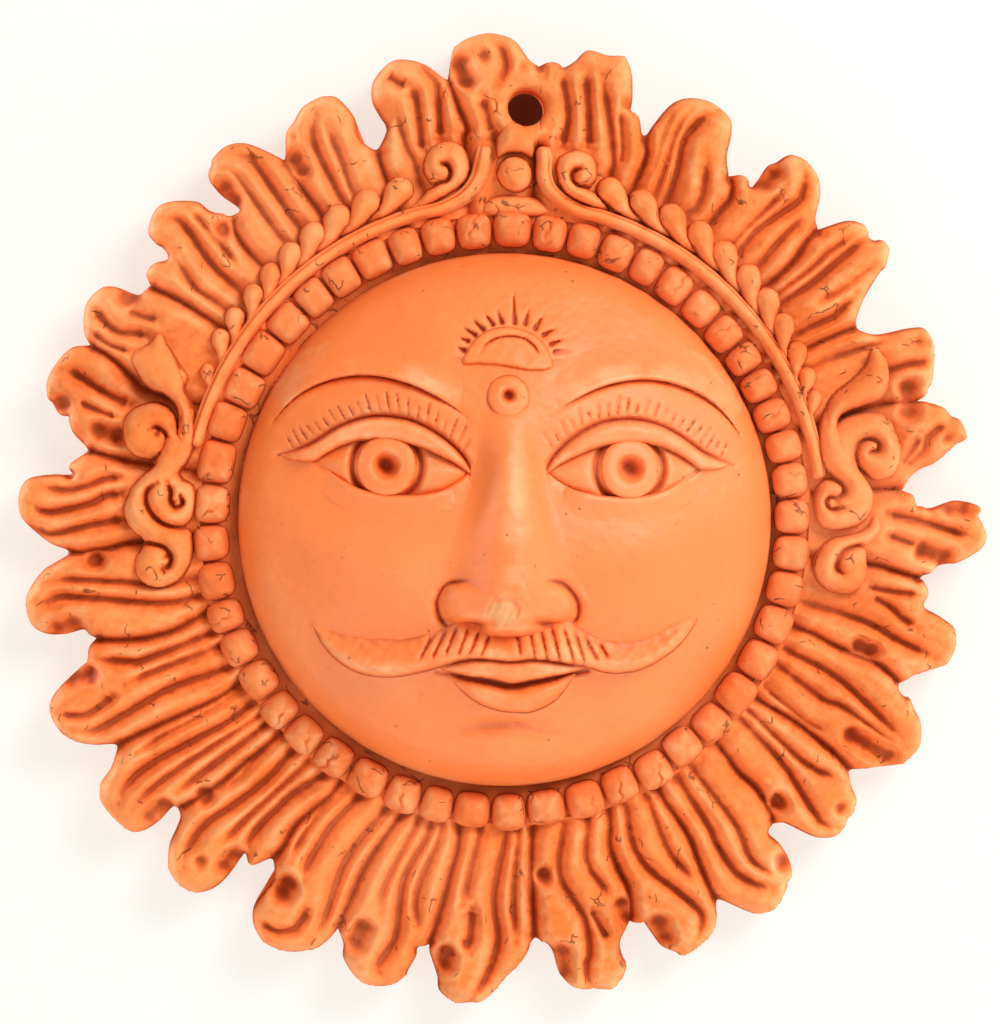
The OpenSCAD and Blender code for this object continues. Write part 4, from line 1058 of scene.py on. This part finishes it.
def build_face():
    outside, inside = dome_outside(), dome_inside()
    first = DOME_OUT ** 2
    rim, inner_rim = grid_rim(DOME_OUT, DOME_OUT), grid_rim(DOME_IN, DOME_IN, first)
    count = len(inner_rim)
    ring = [[rim[(3 * k + j) % len(rim)] for j in range(4)] + [inner_rim[(k + 1) % count], inner_rim[k]]
            for k in range(count)]
    points = np.vstack([np.stack([a.ravel() for a in shell], 1) for shell in (outside, inside)])
    faces = grid_faces(DOME_OUT, DOME_OUT) + grid_faces(DOME_IN, DOME_IN, first) + ring
    relief = np.concatenate([grid_relief(outside[2]), np.zeros(DOME_IN ** 2)])
    Clay().add(points, faces, relief).piece("face_shell", FACE_CLAY, "clay_face")


OUTLINE_SPACING = 0.4


def add_face_lump(clay, outline, rise, radius, strokes=(), slope=1.0, spacing=0.45):
    """Rounded lump on the skin inside an outline; a slope above 1 lets it rise more gently."""
    sunk = 0.5

    def height(x, y, edge):
        swell = (rise + sunk) * round_over(edge, radius) ** slope
        return skin_z(x, y) - sunk + swell - carve(x, y, strokes) + 0.05 * ripple(x, y, 3, 22)

    return clay.add_relief(closed_curve(outline, OUTLINE_SPACING), height, below_skin(2.5), spacing)


IRIS_R, IRIS_ROUND = 7.6, 3.2


def build_eyeball(place, word):
    """Ball of the eye, with a groove round the iris and a seat sunk for it."""
    pupil = place(FACE_LINES["pupil"])[0]

    def height(x, y, edge):
        from_pupil = np.hypot(x - pupil[0], y - pupil[1])
        groove = 3.2 * bell(from_pupil - 8.6, 0.7)
        return skin_z(x, y) - 2.6 + 5.2 * round_over(edge, 8) - groove - 7 * smoothstep(7.3, 6, from_pupil)

    outline = closed_curve(place(FACE_LINES["eye_opening"]), OUTLINE_SPACING)
    Clay().add_relief(outline, height, below_skin(6), 0.4).piece(f"eyeball_{word}", FACE_CLAY)


def build_iris(place, word):
    """Round button with a hollow pupil."""
    x, y = disc_grid(52, IRIS_R)
    r = np.hypot(x, y)
    pupil = place(FACE_LINES["pupil"])[0]
    x, y = x + pupil[0], y + pupil[1]
    z = skin_z(x, y) + 0.9 + 2.6 * round_over(IRIS_R - r, IRIS_ROUND) - 6.5 * smoothstep(4.3, 0.2, r)
    Clay().add_patch(x, y, z, below_skin(5)).piece(f"iris_{word}", FACE_CLAY)


def build_eyelids(place, word):
    """Upper lid, and a low roll below the eye that fades into the cheek."""
    eye_line = resample(spline(place(FACE_LINES["eye_line"]), 8), 0.4)

    def bag(x, y, edge):
        below, along = nearest(x, y, eye_line)
        ends = smoothstep(0.08, 0.3, along) * smoothstep(0.98, 0.76, along)
        roll = 2.9 * ends * round_over(below + 0.1, 1.4) * np.clip(1 - below / 7.5, 0, 1) ** 2
        return skin_z(x, y) - 0.03 - 0.5 * (1 - ends) ** 4 - 0.3 * smoothstep(6, 8, below) + roll

    clay = add_face_lump(Clay(), place(FACE_LINES["lid_edge"], FACE_LINES["lid_crease"]), 4.1, 2.9)
    outline = closed_curve(place(FACE_LINES["eye_line"], FACE_LINES["under_eye"]), OUTLINE_SPACING)
    clay.add_relief(outline, bag, below_skin(2.5), 0.45).piece(f"eyelids_{word}", FACE_CLAY)


def build_brow(place, word, side):
    """Roll above the brow's crease that fades into the forehead, with wear and a painted highlight along its
    crest.
    """
    line = resample(spline(place(FACE_LINES["brow"]), 10), 0.6)
    out = np.gradient(line, axis=0)
    out = np.stack([-out[:, 1], out[:, 0]], 1) * side / np.hypot(out[:, 0], out[:, 1])[:, None]
    along = np.linspace(0, 1, len(line))[:, None]
    across = np.linspace(0, 1, 30) ** 1.5 * 13
    x, y = [line[:, k:k + 1] + out[:, k:k + 1] * (0.2 + across) for k in (0, 1)]
    ends = smoothstep(0, 0.32, along) * smoothstep(1, 0.72, along)
    roll = 3.3 * ends * round_over(across + 0.1, 1.6) * np.clip(1 - across / 11, 0, 1) ** 2
    z = skin_z(x, y) - 0.02 - 0.4 * (1 - ends) ** 4 - 0.4 * smoothstep(9, 13, across) + roll
    # Painted highlight and wear: paler along the crest of the roll
    rubbed_and_highlight = 0.75 * bell(across - 2.2, 1.6) * ends
    Clay().add_patch(x, y, z, below_skin(2), rubbed_and_highlight).piece(f"brow_{word}", FACE_CLAY)


def build_eyes():
    for side, word in ((-1, "left"), (1, "right")):
        place = eye_place(side)
        build_eyeball(place, word)
        build_iris(place, word)
        build_eyelids(place, word)
        build_brow(place, word, side)


# The nose by height: half width of its patch of clay, rise of its ridge, and half width of the ridge
NOSE_HALF = numbers("-31,16 -24,20.5 -14,20.5 -6,17 4,13 12,9.5 31,8.5").T
NOSE_RIDGE = numbers("-31,-3 -29,-1.5 -27.4,3.4 -25.6,8.4 -22.5,11.2 -17.5,11.5 -10,9.6 0,7.4 10,5.4 18,3.8"
                     " 26,1.8 31,-1").T
NOSE_WIDE = numbers("-31,6 -24,8.6 -18,10.2 -8,9 2,7.4 12,5.6 22,5.2 31,5.2").T
NOSE_END = 31


def nose_rise(u, x, y):
    """Height of the nose above the skin: ridge, wings, nostrils and the chip on its tip."""
    rise = np.interp(y, *NOSE_RIDGE) * np.exp(-np.abs((x - 0.3) / np.interp(y, *NOSE_WIDE)) ** 2.5)
    wing = ((np.abs(x) - 9.6) / 6.0) ** 2 + ((y + 19.6) / 5.3) ** 2
    rise = (np.maximum(rise, 0) ** 3 + (6.0 * np.exp(-wing ** 2)) ** 3) ** (1 / 3) + np.minimum(rise, 0)
    rise = rise - 3.6 * bell(np.hypot((x + 8.6) / 1.9, (y + 25.2) / 0.8), 1.5)
    rise = rise - 2.2 * bell(np.hypot((x - 9.4) / 1.9, (y + 24.8) / 0.7), 1.4)
    from_chip = np.hypot((x - NOSE_CHIP[0]) / 0.9, (y - NOSE_CHIP[1]) / 1.1) + 0.5 * ripple(x, y, 3, 24)
    rise = rise - smoothstep(5.0, 3.4, from_chip) * (0.9 + 0.35 * ripple(x, y, 2.2, 23))
    rise = np.where(rise > 0, rise * (1 - u ** 8), rise) - 0.07 - 0.3 * u ** 8
    return np.maximum(rise - 0.8 * np.maximum(np.abs(y) - 29, 0), -1.6)


def build_nose():
    u, y = np.meshgrid(np.linspace(-1, 1, 150), np.linspace(-NOSE_END, NOSE_END, 200))
    x = u * np.interp(y, *NOSE_HALF)
    creases = carve(x.ravel(), y.ravel(), WING_CREASES).reshape(x.shape)
    z = skin_z(x, y) - creases + nose_rise(u, x, y)
    # Painted highlight, with some wear: paler on the right of the ridge, the side towards the key lamp
    rubbed_and_highlight = 0.8 * bell(x - 1.4, 2.2) * smoothstep(-27, -22, y) * smoothstep(25, 14, y)
    Clay().add_patch(x, y, z, below_skin(3), rubbed_and_highlight).piece("nose", NOSE_CLAY)


# Rise, radius of the rounded edge and slope of each lip
LIPS = {"upper_lip": (4.2, 3.0, 1.1), "lower_lip": (4.6, 5.0, 1.5)}
MOUSTACHE_RISE = 6.6
# Place of the right tip among the points of the moustache's outline
MOUSTACHE_TIP = 21


def build_mouth():
    """Moustache, steep below and sloping above, and the lips."""
    outline = FACE_LINES["moustache"]
    edges = outline[:MOUSTACHE_TIP + 1], outline[MOUSTACHE_TIP:]
    upper, lower = [resample(spline(edge, 8), 0.4) for edge in edges]
    hairs = [stroke("hair", hair) for hair in FACE_LINES["hairs"].reshape(-1, 2, 2)]

    def height(x, y, edge):
        down, up = nearest(x, y, upper)[0], nearest(x, y, lower)[0]
        swell = MOUSTACHE_RISE * smoothstep(-1.2, 7.5, down) * round_over(up + 0.05, 3.4)
        return skin_z(x, y) - 0.3 + swell - carve(x, y, hairs) + 0.12 * ripple(x, y, 2.2, 22)

    clay = Clay().add_relief(closed_curve(outline, OUTLINE_SPACING), height, below_skin(2.5), 0.45)
    clay.piece("moustache", FACE_CLAY)
    for lip, (rise, radius, slope) in LIPS.items():
        add_face_lump(Clay(), FACE_LINES[lip], rise, radius, slope=slope).piece(lip, FACE_CLAY)


def build_forehead_sun():
    """Half sun with an arch in it, and the hollowed dot below it."""
    dot = polar(np.linspace(0, 360, 13)[:-1], 5.5) + [0, 31.8]
    clay = Clay()
    add_face_lump(clay, FACE_LINES["half_sun"], 1.7, 1.1, [stroke("arch", FACE_LINES["arch"])], spacing=0.35)
    add_face_lump(clay, dot, 2.0, 2.6, [DOT_HOLLOW], spacing=0.35)
    clay.piece("forehead_sun", FACE_CLAY)


# Bead border

# Angles of the gaps between the beads
BEAD_GAPS = [
    5.3, 12.3, 19, 26, 32.3, 39.3, 46.3, 53, 59, 65.3, 72, 78.5, 85.7, 92.9, 100.2, 107.4, 115, 122.8, 130.8,
    138.2, 145.6, 153, 160.2, 168, 175.8, 182.8, 190.3, 196.8, 204, 212, 219.5, 226.7, 233.3, 240.9, 248,
    254.4, 262, 269.3, 277.2, 285.8, 293.2, 300.6, 308.6, 316.1, 322.7, 329.4, 336.8, 343.3, 350.2, 357.5,
]
BEAD_RING_R, BEAD_HALF, BEAD_FOOT, BEAD_RISE = 75.0, 4.7, 2.2, 7.2
# Angles between which the beads are square, and how square the others are
SQUARE_FROM, SQUARE_TO = 275, 340
ROUNDER = 0.55
CRACKED_SHARE = 0.4


def build_beads():
    """Pressed beads, squarer ones at the upper left and rounder ones elsewhere, some cracked in drying."""
    rng = np.random.default_rng(19)
    clay = Clay()
    grid = np.sin(np.linspace(-math.pi / 2, math.pi / 2, 30))
    u, v = np.meshgrid(grid, grid)
    level = np.maximum(np.abs(u), np.abs(v))
    for start, end in zip(BEAD_GAPS, BEAD_GAPS[1:] + [BEAD_GAPS[0] + 360]):
        middle = (start + end) / 2 % 360
        square = 1.0 if SQUARE_FROM < middle < SQUARE_TO else ROUNDER
        power = 2.0 + 2.0 * square
        shrink = level / np.maximum((np.abs(u) ** power + np.abs(v) ** power) ** (1 / power), 1e-9)
        a, b = u * shrink, v * shrink
        angle = middle + ((end - start) / 2 - 0.08) * a
        ring_r = BEAD_RING_R - 0.8 * math.cos(math.radians(middle - 70)) + 0.15 * rng.standard_normal()
        radius = ring_r + (BEAD_HALF + 0.1 * rng.standard_normal()) * b
        x, y = np.moveaxis(polar(angle, radius), -1, 0)
        swell = np.maximum(1 - level ** (2.0 + 1.7 * square ** 2), 0) ** 0.5
        z = SLAB_T + BEAD_FOOT + (BEAD_RISE - square + 0.4 * rng.standard_normal()) * swell
        z = z + (0.16 * ripple(x, y, 5, 51) + 0.06 * ripple(x, y, 1.8, 52)) * swell
        if rng.random() < CRACKED_SHARE:
            shift, slant = rng.uniform(-0.45, 0.45), rng.uniform(-0.7, 0.7)
            crack = bell(a - shift - slant * b - 0.08 * np.sin(9 * b), 0.05)
            z = z - 0.9 * crack * swell * smoothstep(-0.9, 0.1, b)
        clay.add_patch(x, y, z, SLAB_T + 1.5)
    clay.piece("beads", BEAD_CLAY)


# Radius and height above the slab of each ring of the strip
STRIP_PROFILE = ((STRIP_IN, 0), (STRIP_IN, 0.4), (STRIP_IN + 1.8, 0.8), (73, 2.6), (STRIP_OUT - 0.8, 3.4),
                 (STRIP_OUT, 3.0), (STRIP_OUT, 0))
STRIP_COUNT = 360


def build_bead_strip():
    turns = np.linspace(0, 360, STRIP_COUNT + 1)[:-1]
    rings = []
    for r, rise in STRIP_PROFILE:
        place = polar(turns, r)
        lumps = 0.25 * ripple(place[:, 0], place[:, 1], 6, 55) if rise else np.zeros(STRIP_COUNT)
        rings.append(np.column_stack([place, SLAB_T + rise + lumps]))
    Clay().add(np.vstack(rings), ring_faces(len(rings), STRIP_COUNT)).piece("bead_strip", BEAD_CLAY)


# Vines, scrolls and crest

# Each node's lumps and the strokes in them, by x and y in photo units from the middle of the plaque
ORNAMENTS = """
node side_leaf_right
lump 365.5,174.5 373.8,171.2 381.2,161.2 384.5,150 384,136.2 378.8,123.8 371.2,117.5 345,108.8 333.8,101.2
+ 334,88 339,76 340,62 332,52 322,54 314,66 313,90 320,115 326.2,126.2 337.5,136.2 350,146.2 360,158.8
fold 364,166.2 354.5,148.8 328,123 322,110 320,95
node side_scroll_upper_right
lump 322,86 337,102 361.2,108.8 376.2,107.5 386.2,98.8 397,72.5 395.5,57.5 388.8,45 377.5,39.5 366.2,40.5
+ 356.2,48.8 347,55 338,54 326,60 320,72
spiral 352.5,53.8 349.8,65 350.8,73.8 356.2,79.5 364.5,81 371.5,77.5 371,70 363,67.5
crack 378,103.8 385,88.8 394.5,66.2
node side_scroll_lower_right
lump 312.5,76.2 313.8,62.5 318,51.2 323,43 316.2,40 310.5,30 308.2,15 310,1.2 316.2,-7.5 326.2,-10.8
+ 338.8,-10.2 352.5,-6.2 362.5,1.2 368,12.5 368.8,25 365,36.2 357.5,47.5 352,58 348,72 340,86 330,96
+ 320,94 314,86
spiral 316.2,50 326.2,43 335.8,35.5 337,28 330.5,22 324,23 320.2,17.5 325,11.2 334.5,13
eye 328.8,17.5
lump 369,30 374.2,8.8 377,-5 375,-15 368.8,-20.5 363,-27.5 362.5,-37.5 363,-48.8 360,-62.5 350,-72.5
+ 337.5,-74.5 322.5,-71.2 311.2,-61.2 307,-47.5 310.8,-33.8 318.8,-22.5 328.8,-16.5 341.2,-14.5 353.8,-10
+ 362.5,-3 367,6.2 369,17.5
spiral 363,-29.5 355,-25.5 346.2,-27 337.5,-31.2 332,-39.5 330.5,-47.5 335,-52
eye 331.5,-45
node side_leaf_left
lump -343.8,188.8 -335,176.2 -320,152.5 -314.5,142.5 -317,131.2 -313.8,122.5 -308.8,110 -307,95 -308,80
+ -313,66 -320,54 -328,56 -329,70 -326,103.8 -329.5,115 -338.8,123.8 -351.2,128.8 -360,136.2 -372.5,157.5
+ -372,166.2 -362.5,173 -352.5,178.8
vein -327.5,160 -320,140 -318.8,127.5
vein -315.5,124.5 -313,110 -308.5,90
vein -320.8,110 -322,97.5 -319.2,83.8
node side_scroll_upper_left
lump -324,87.5 -326.5,102.5 -334.5,113.5 -348.8,118.8 -363.8,115.5 -375.5,107.5 -380.8,97.5 -380.5,83.8
+ -377,71.2 -367.5,63.2 -355,60 -348,54 -342,44 -330,42 -324,52 -322,70
spiral -353,90 -346.2,92.5 -339,88.8 -336,80 -338.8,70.5 -345,63.8 -351.2,60
eye -344,87.5
node side_scroll_lower_left
lump -308.8,76.2 -313.8,60 -322.5,48.8 -320,42.5 -310,36.2 -307,22.5 -308.8,7.5 -314,-4.5 -311.2,-15
+ -310,-30 -315,-48.8 -327.5,-62 -345,-67.5 -360,-63 -368.8,-51.2 -369.2,-37.5 -362.5,-26.2 -361.2,-18.8
+ -370,-12.5 -378,-1.2 -380.5,13.8 -373.8,31.2 -362.5,45 -350,56.2 -338,84 -330,90 -322,86 -315,82
spiral -345,38 -353.5,32 -356.8,23.8 -354,12.5 -346.2,2 -334.5,-4.5 -321.2,-6.5 -311.2,-4
spiral -335,38.8 -332,28.8 -332.5,20 -327.5,13.5 -321,17 -322.5,25
spiral -362.5,-21.2 -351.2,-22.5 -338.8,-26 -332,-35 -334,-43.8 -338.8,-47.5
eye -329,18.8
eye -335,-34.5
node top_scroll_right
lump 104.5,307.5 90,310.5 75,315.5 62.5,322 53.8,332 50,343.8 49.5,354.5 55,363.8 66.2,368.8 79.2,368.2
+ 88.8,360.5 92.5,348.8 91.5,338.8 87,331.5 93.8,322.5 101.2,313.8
spiral 90.5,327 81.2,331 72,333.2 66,339.5 67,346 73,349
eye 68,341.2
node top_scroll_left
lump -100,308 -87.5,318.8 -78.8,327.5 -76,335 -82,346.2 -82,357.5 -77,368 -67.5,376.2 -53.8,378
+ -42.5,372.5 -35.8,360 -35.8,343.8 -43.8,332 -57.5,322.5 -75,313.8 -90,308
spiral -80,330 -67.5,334.5 -58,338 -54.8,345 -57.5,352 -63,353.5
crack -52,372 -60,362 -68,366
node crest_petal
lump -10.2,372.5 -7.5,385 1.2,397 12.5,395.5 25,388 30.2,378.8 29.2,367.5 27,359.2 20,363 8.8,364.8
+ -1.2,362.8 -8,358.5
node crest_bead
lump -9.5,344 -5,357 4,363 14,362.5 23,357 27.5,345 25,334 17,326.5 6,326 -4,332
crack -2,352 2,340 6,332
node crest_collar
lump -23.8,310 -15.5,321.2 0,325 17.5,323.5 32.5,320.8 46,307 35,303 -12.5,303
"""
ORNAMENT_RISE, ORNAMENT_ROUND = 8.4, 4.4
CREST_RISE = {"crest_petal": 9.4, "crest_bead": 8.2, "crest_collar": 3.8}
# A leaf from its round head to its tail, in photo units along and across it
LEAF = numbers("2,-11.7 -0.6,-4.5 3.3,3.8 11.9,7.2 22.9,6.6 32.6,2.5 43,-0.8 59.2,0 50.5,-7.4 35.9,-12.9"
               " 22.7,-14.7 11.3,-16.4")
LEAF_WIDENING = 1.2
LEAF_LEAN = 32
LEAF_RISE, LEAF_ROUND = 6.6, 3.6
# Angle and photo radius of each leaf's head, and its size
LEAF_HEADS = {
    "right": numbers("17,357,1 22.6,357,1 28,357,1 33.5,357,1 38.7,356,1 44.2,355,1 49.3,353,.95 54.3,350,.88"
                     " 59.6,346,.82 64.2,343,.74 68.2,340,.66"),
    "left": numbers("343,357,1 337.2,357,1 331.8,356,1 326.8,354,.95 321.8,351,.88 317,348,.82 312.4,346,.78"
                    " 307.4,346,.78 303,345,.74 296.8,339,.6"),
}
# Stems by angle, photo radius, half width in photo units and height: beside the crest, then along the beads
STEM_ENDS = {"right": numbers("5.6,376,7.5,8.8 6.2,362,9,9.6 6.5,345,9,9.6 8.3,329,8.6,9.2"),
             "left": numbers("356.9,376,8.2,8.8 356.4,359,10,9.6 355.4,341,10,9.6 352.9,326,9,9.2")}
STEM_RUN = {"right": (13, 83), "left": (348.6, 283)}
STEM_R, STEM_HALF, STEM_RISE = 317.5, 8.2, 8.6


def read_ornaments(text):
    """Lumps and strokes of each node of an ornament table."""
    nodes = {}
    for kind, *words in table_lines(text):
        if kind == "node":
            lumps, strokes = nodes.setdefault(words[0], ([], []))
        elif kind == "lump":
            lumps.append(closed_curve(numbers(words) * PHOTO_MM))
        else:
            strokes.append(stroke(kind, numbers(words) * PHOTO_MM))
    return nodes


def build_ornaments():
    for node, (lumps, strokes) in read_ornaments(ORNAMENTS).items():
        rise = CREST_RISE.get(node, ORNAMENT_RISE)

        def height(x, y, edge):
            z = ORNAMENT_Z + rise * round_over(edge, ORNAMENT_ROUND) - carve(x, y, strokes)
            return z + 0.12 * ripple(x, y, 4, 63) + 0.04 * ripple(x, y, 1.3, 64)

        clay = Clay()
        for outline in lumps:
            clay.add_relief(outline, height, SLAB_T + 0.6, 0.45)
        clay.piece(node, RIM_CLAY)


def leaf_outline(head, radius, size, sign):
    """Outline of one leaf whose head lies at an angle, its tail turned inwards along the vine."""
    turn = math.radians(head + sign * LEAF_LEAN)
    along = np.array([sign * math.cos(turn), -sign * math.sin(turn)])
    across = np.array([math.sin(turn), math.cos(turn)])
    local = LEAF * [size, LEAF_WIDENING * size]
    return (polar(head - sign * 0.8, radius) + local[:, :1] * along + local[:, 1:] * across) * PHOTO_MM


def build_leaves(word, sign, rng):
    clay = Clay()
    for head in LEAF_HEADS[word]:
        rise = LEAF_RISE + 0.5 * rng.standard_normal()

        def height(x, y, edge):
            return ORNAMENT_Z + rise * round_over(edge, LEAF_ROUND) + 0.1 * ripple(x, y, 3, 61)

        clay.add_relief(closed_curve(leaf_outline(*head, sign), 0.45), height, SLAB_T + 0.8, 0.42)
    clay.piece(f"vine_leaves_{word}", RIM_CLAY)


def build_stem(word, sign):
    """Cord of the vine, with a groove along it on the side of the beads."""
    run = [(angle, STEM_R, STEM_HALF, STEM_RISE) for angle in np.linspace(*STEM_RUN[word], 16)]
    rows = np.vstack([STEM_ENDS[word], run]) * [1, 1, PHOTO_MM, 1]
    across = np.sin(np.linspace(-math.pi / 2, math.pi / 2, 25))
    x, y, z = ribbon(photo_points(rows), across, SLAB_T)
    groove = 1.3 * bell(sign * across + 0.5, 0.12) * smoothstep(SLAB_T, SLAB_T + 4, z)
    z = np.maximum(z - groove + 0.12 * ripple(x, y, 4, 62), SLAB_T + 0.1)
    Clay().add_patch(x, y, z, SLAB_T).piece(f"vine_stem_{word}", RIM_CLAY)


def build_vines():
    rng = np.random.default_rng(7)
    for word, sign in (("right", 1), ("left", -1)):
        build_leaves(word, sign, rng)
        build_stem(word, sign)


# Stage, lights and camera, in metres

WALL_Y, FLOOR_Z, SWEEP_R, SWEEP_Y = 0.0012, -0.42, 0.2512, -0.25
STAGE_FRONT, STAGE_TOP, STAGE_HALF = -1.6, 1.2, 1.5
# Radius of the wall that the nail hole shows, and of the wall that the plaque hides; both painted dark as
# shade, the hidden one only to bounced light
HOLE_VIEW_R, HIDDEN_R = 0.011, 0.128
PAPER, PAPER_IN_SHADE = (0.92, 0.97, 1.0), (0.10, 0.05, 0.03)
GLOW, GLOW_SHARE = (1.0, 0.965, 0.88), 0.70


def paper():
    """White paper, clear from behind, glowing to the camera; painted shade behind the hole, and behind the
    plaque for bounces.
    """
    tree = Nodes("paper")
    hole = polar(HOLE_A, HOLE_R) * MM
    to_hole = tree.measure("DISTANCE", tree.place, (hole[0], WALL_Y, hole[1]))
    clear_of_hole = tree.calculate("GREATER_THAN", to_hole, HOLE_VIEW_R)
    beyond = tree.calculate("GREATER_THAN", tree.measure("LENGTH", tree.place), HIDDEN_R)
    camera = tree.add("ShaderNodeLightPath").outputs["Is Camera Ray"]
    # Painted shade: dark, unglowing paper through the nail hole, and dark paper behind the plaque for bounced
    # light
    white = tree.calculate("MULTIPLY", clear_of_hole, tree.calculate("MAXIMUM", beyond, camera))
    tree.feed(tree.shader, Roughness=0.9, Base_Color=tree.mix(white, PAPER_IN_SHADE, PAPER))
    glow = tree.add("ShaderNodeEmission")
    tree.feed(glow, Color=GLOW, Strength=1.0)
    share = tree.calculate("MULTIPLY", tree.calculate("MULTIPLY", clear_of_hole, camera), GLOW_SHARE)
    front = tree.mix_shader(share, tree.shader.outputs[0], glow.outputs[0])
    behind = tree.add("ShaderNodeNewGeometry").outputs["Backfacing"]
    seen = tree.mix_shader(behind, front, tree.add("ShaderNodeBsdfTransparent").outputs[0])
    tree.feed(tree.tree.nodes["Material Output"], Surface=seen)
    return tree.material


def build_stage():
    """Wall and floor in one sweep."""
    turns = np.linspace(0, math.pi / 2, 14)
    profile = [(STAGE_FRONT, FLOOR_Z), (SWEEP_Y, FLOOR_Z)]
    profile += [(SWEEP_Y + SWEEP_R * math.sin(t), FLOOR_Z + SWEEP_R * (1 - math.cos(t))) for t in turns]
    profile += [(WALL_Y, STAGE_TOP)]
    points = [(side * STAGE_HALF, y, z) for y, z in profile for side in (-1, 1)]
    faces = [(2 * k, 2 * k + 1, 2 * k + 3, 2 * k + 2) for k in range(len(profile) - 1)]
    mesh = bpy.data.meshes.new("backdrop")
    mesh.from_pydata(points, [], faces)
    mesh.shade_smooth()
    mesh.materials.append(paper())
    obj = bpy.data.objects.new("backdrop", mesh)
    bpy.context.scene.collection.objects.link(obj)
    obj.visible_shadow = False


# Place, diameter, power and colour of each lamp
LAMPS = {
    "key": ((0.66, -0.92, 0.72), 0.7, 14.2, (1.0, 0.98, 0.95)),
    "fill": ((-0.95, -1.05, 0.05), 0.8, 1.0, (1.0, 0.93, 0.86)),
    "back_left": ((-1.15, 0.48, 0.35), 0.7, 20, (1.0, 0.98, 0.96)),
    "back_right": ((1.15, 0.48, -0.1), 0.7, 13, (1.0, 0.98, 0.96)),
}
WORLD_COLOUR, WORLD_STRENGTH = (1.0, 0.94, 0.87, 1), 0.43


def build_lights():
    world = bpy.data.worlds.new("studio")
    world.use_nodes = True
    sky = world.node_tree.nodes["Background"]
    sky.inputs["Color"].default_value = WORLD_COLOUR
    sky.inputs["Strength"].default_value = WORLD_STRENGTH
    bpy.context.scene.world = world
    for name, (place, size, energy, colour) in LAMPS.items():
        light = bpy.data.lights.new(name, "AREA")
        light.shape = "DISK"
        light.size = size
        light.energy = energy
        light.color = colour
        obj = bpy.data.objects.new(name, light)
        obj.location = place
        obj.rotation_euler = (-Vector(place)).to_track_quat("-Z", "Y").to_euler()
        bpy.context.scene.collection.objects.link(obj)


CAMERA_AZIMUTH, CAMERA_ELEVATION = math.radians(-1.7), math.radians(1.7)
CAMERA_AIM, CAMERA_DISTANCE = Vector((-0.0013, -0.010, 0.0021)), 0.86
VIEW_WIDTH = 0.2577
SENSOR_WIDTH = 36


def build_camera():
    data = bpy.data.cameras.new("camera")
    camera = bpy.data.objects.new("camera", data)
    bpy.context.scene.collection.objects.link(camera)
    bpy.context.scene.camera = camera
    level = math.cos(CAMERA_ELEVATION)
    right, front = math.sin(CAMERA_AZIMUTH) * level, math.cos(CAMERA_AZIMUTH) * level
    away = Vector((right, -front, math.sin(CAMERA_ELEVATION)))
    camera.location = CAMERA_AIM + away * CAMERA_DISTANCE
    camera.rotation_euler = (-away).to_track_quat("-Z", "Y").to_euler()
    data.sensor_fit = "HORIZONTAL"
    data.sensor_width = SENSOR_WIDTH
    data.lens = SENSOR_WIDTH * CAMERA_DISTANCE / VIEW_WIDTH
    data.clip_start = 0.01


build_flames()
build_slab()
build_face()
build_eyes()
build_nose()
build_mouth()
build_forehead_sun()
build_beads()
build_bead_strip()
build_vines()
build_ornaments()
build_stage()
build_lights()
build_camera()
bpy.context.scene.view_settings.view_transform = "Standard"
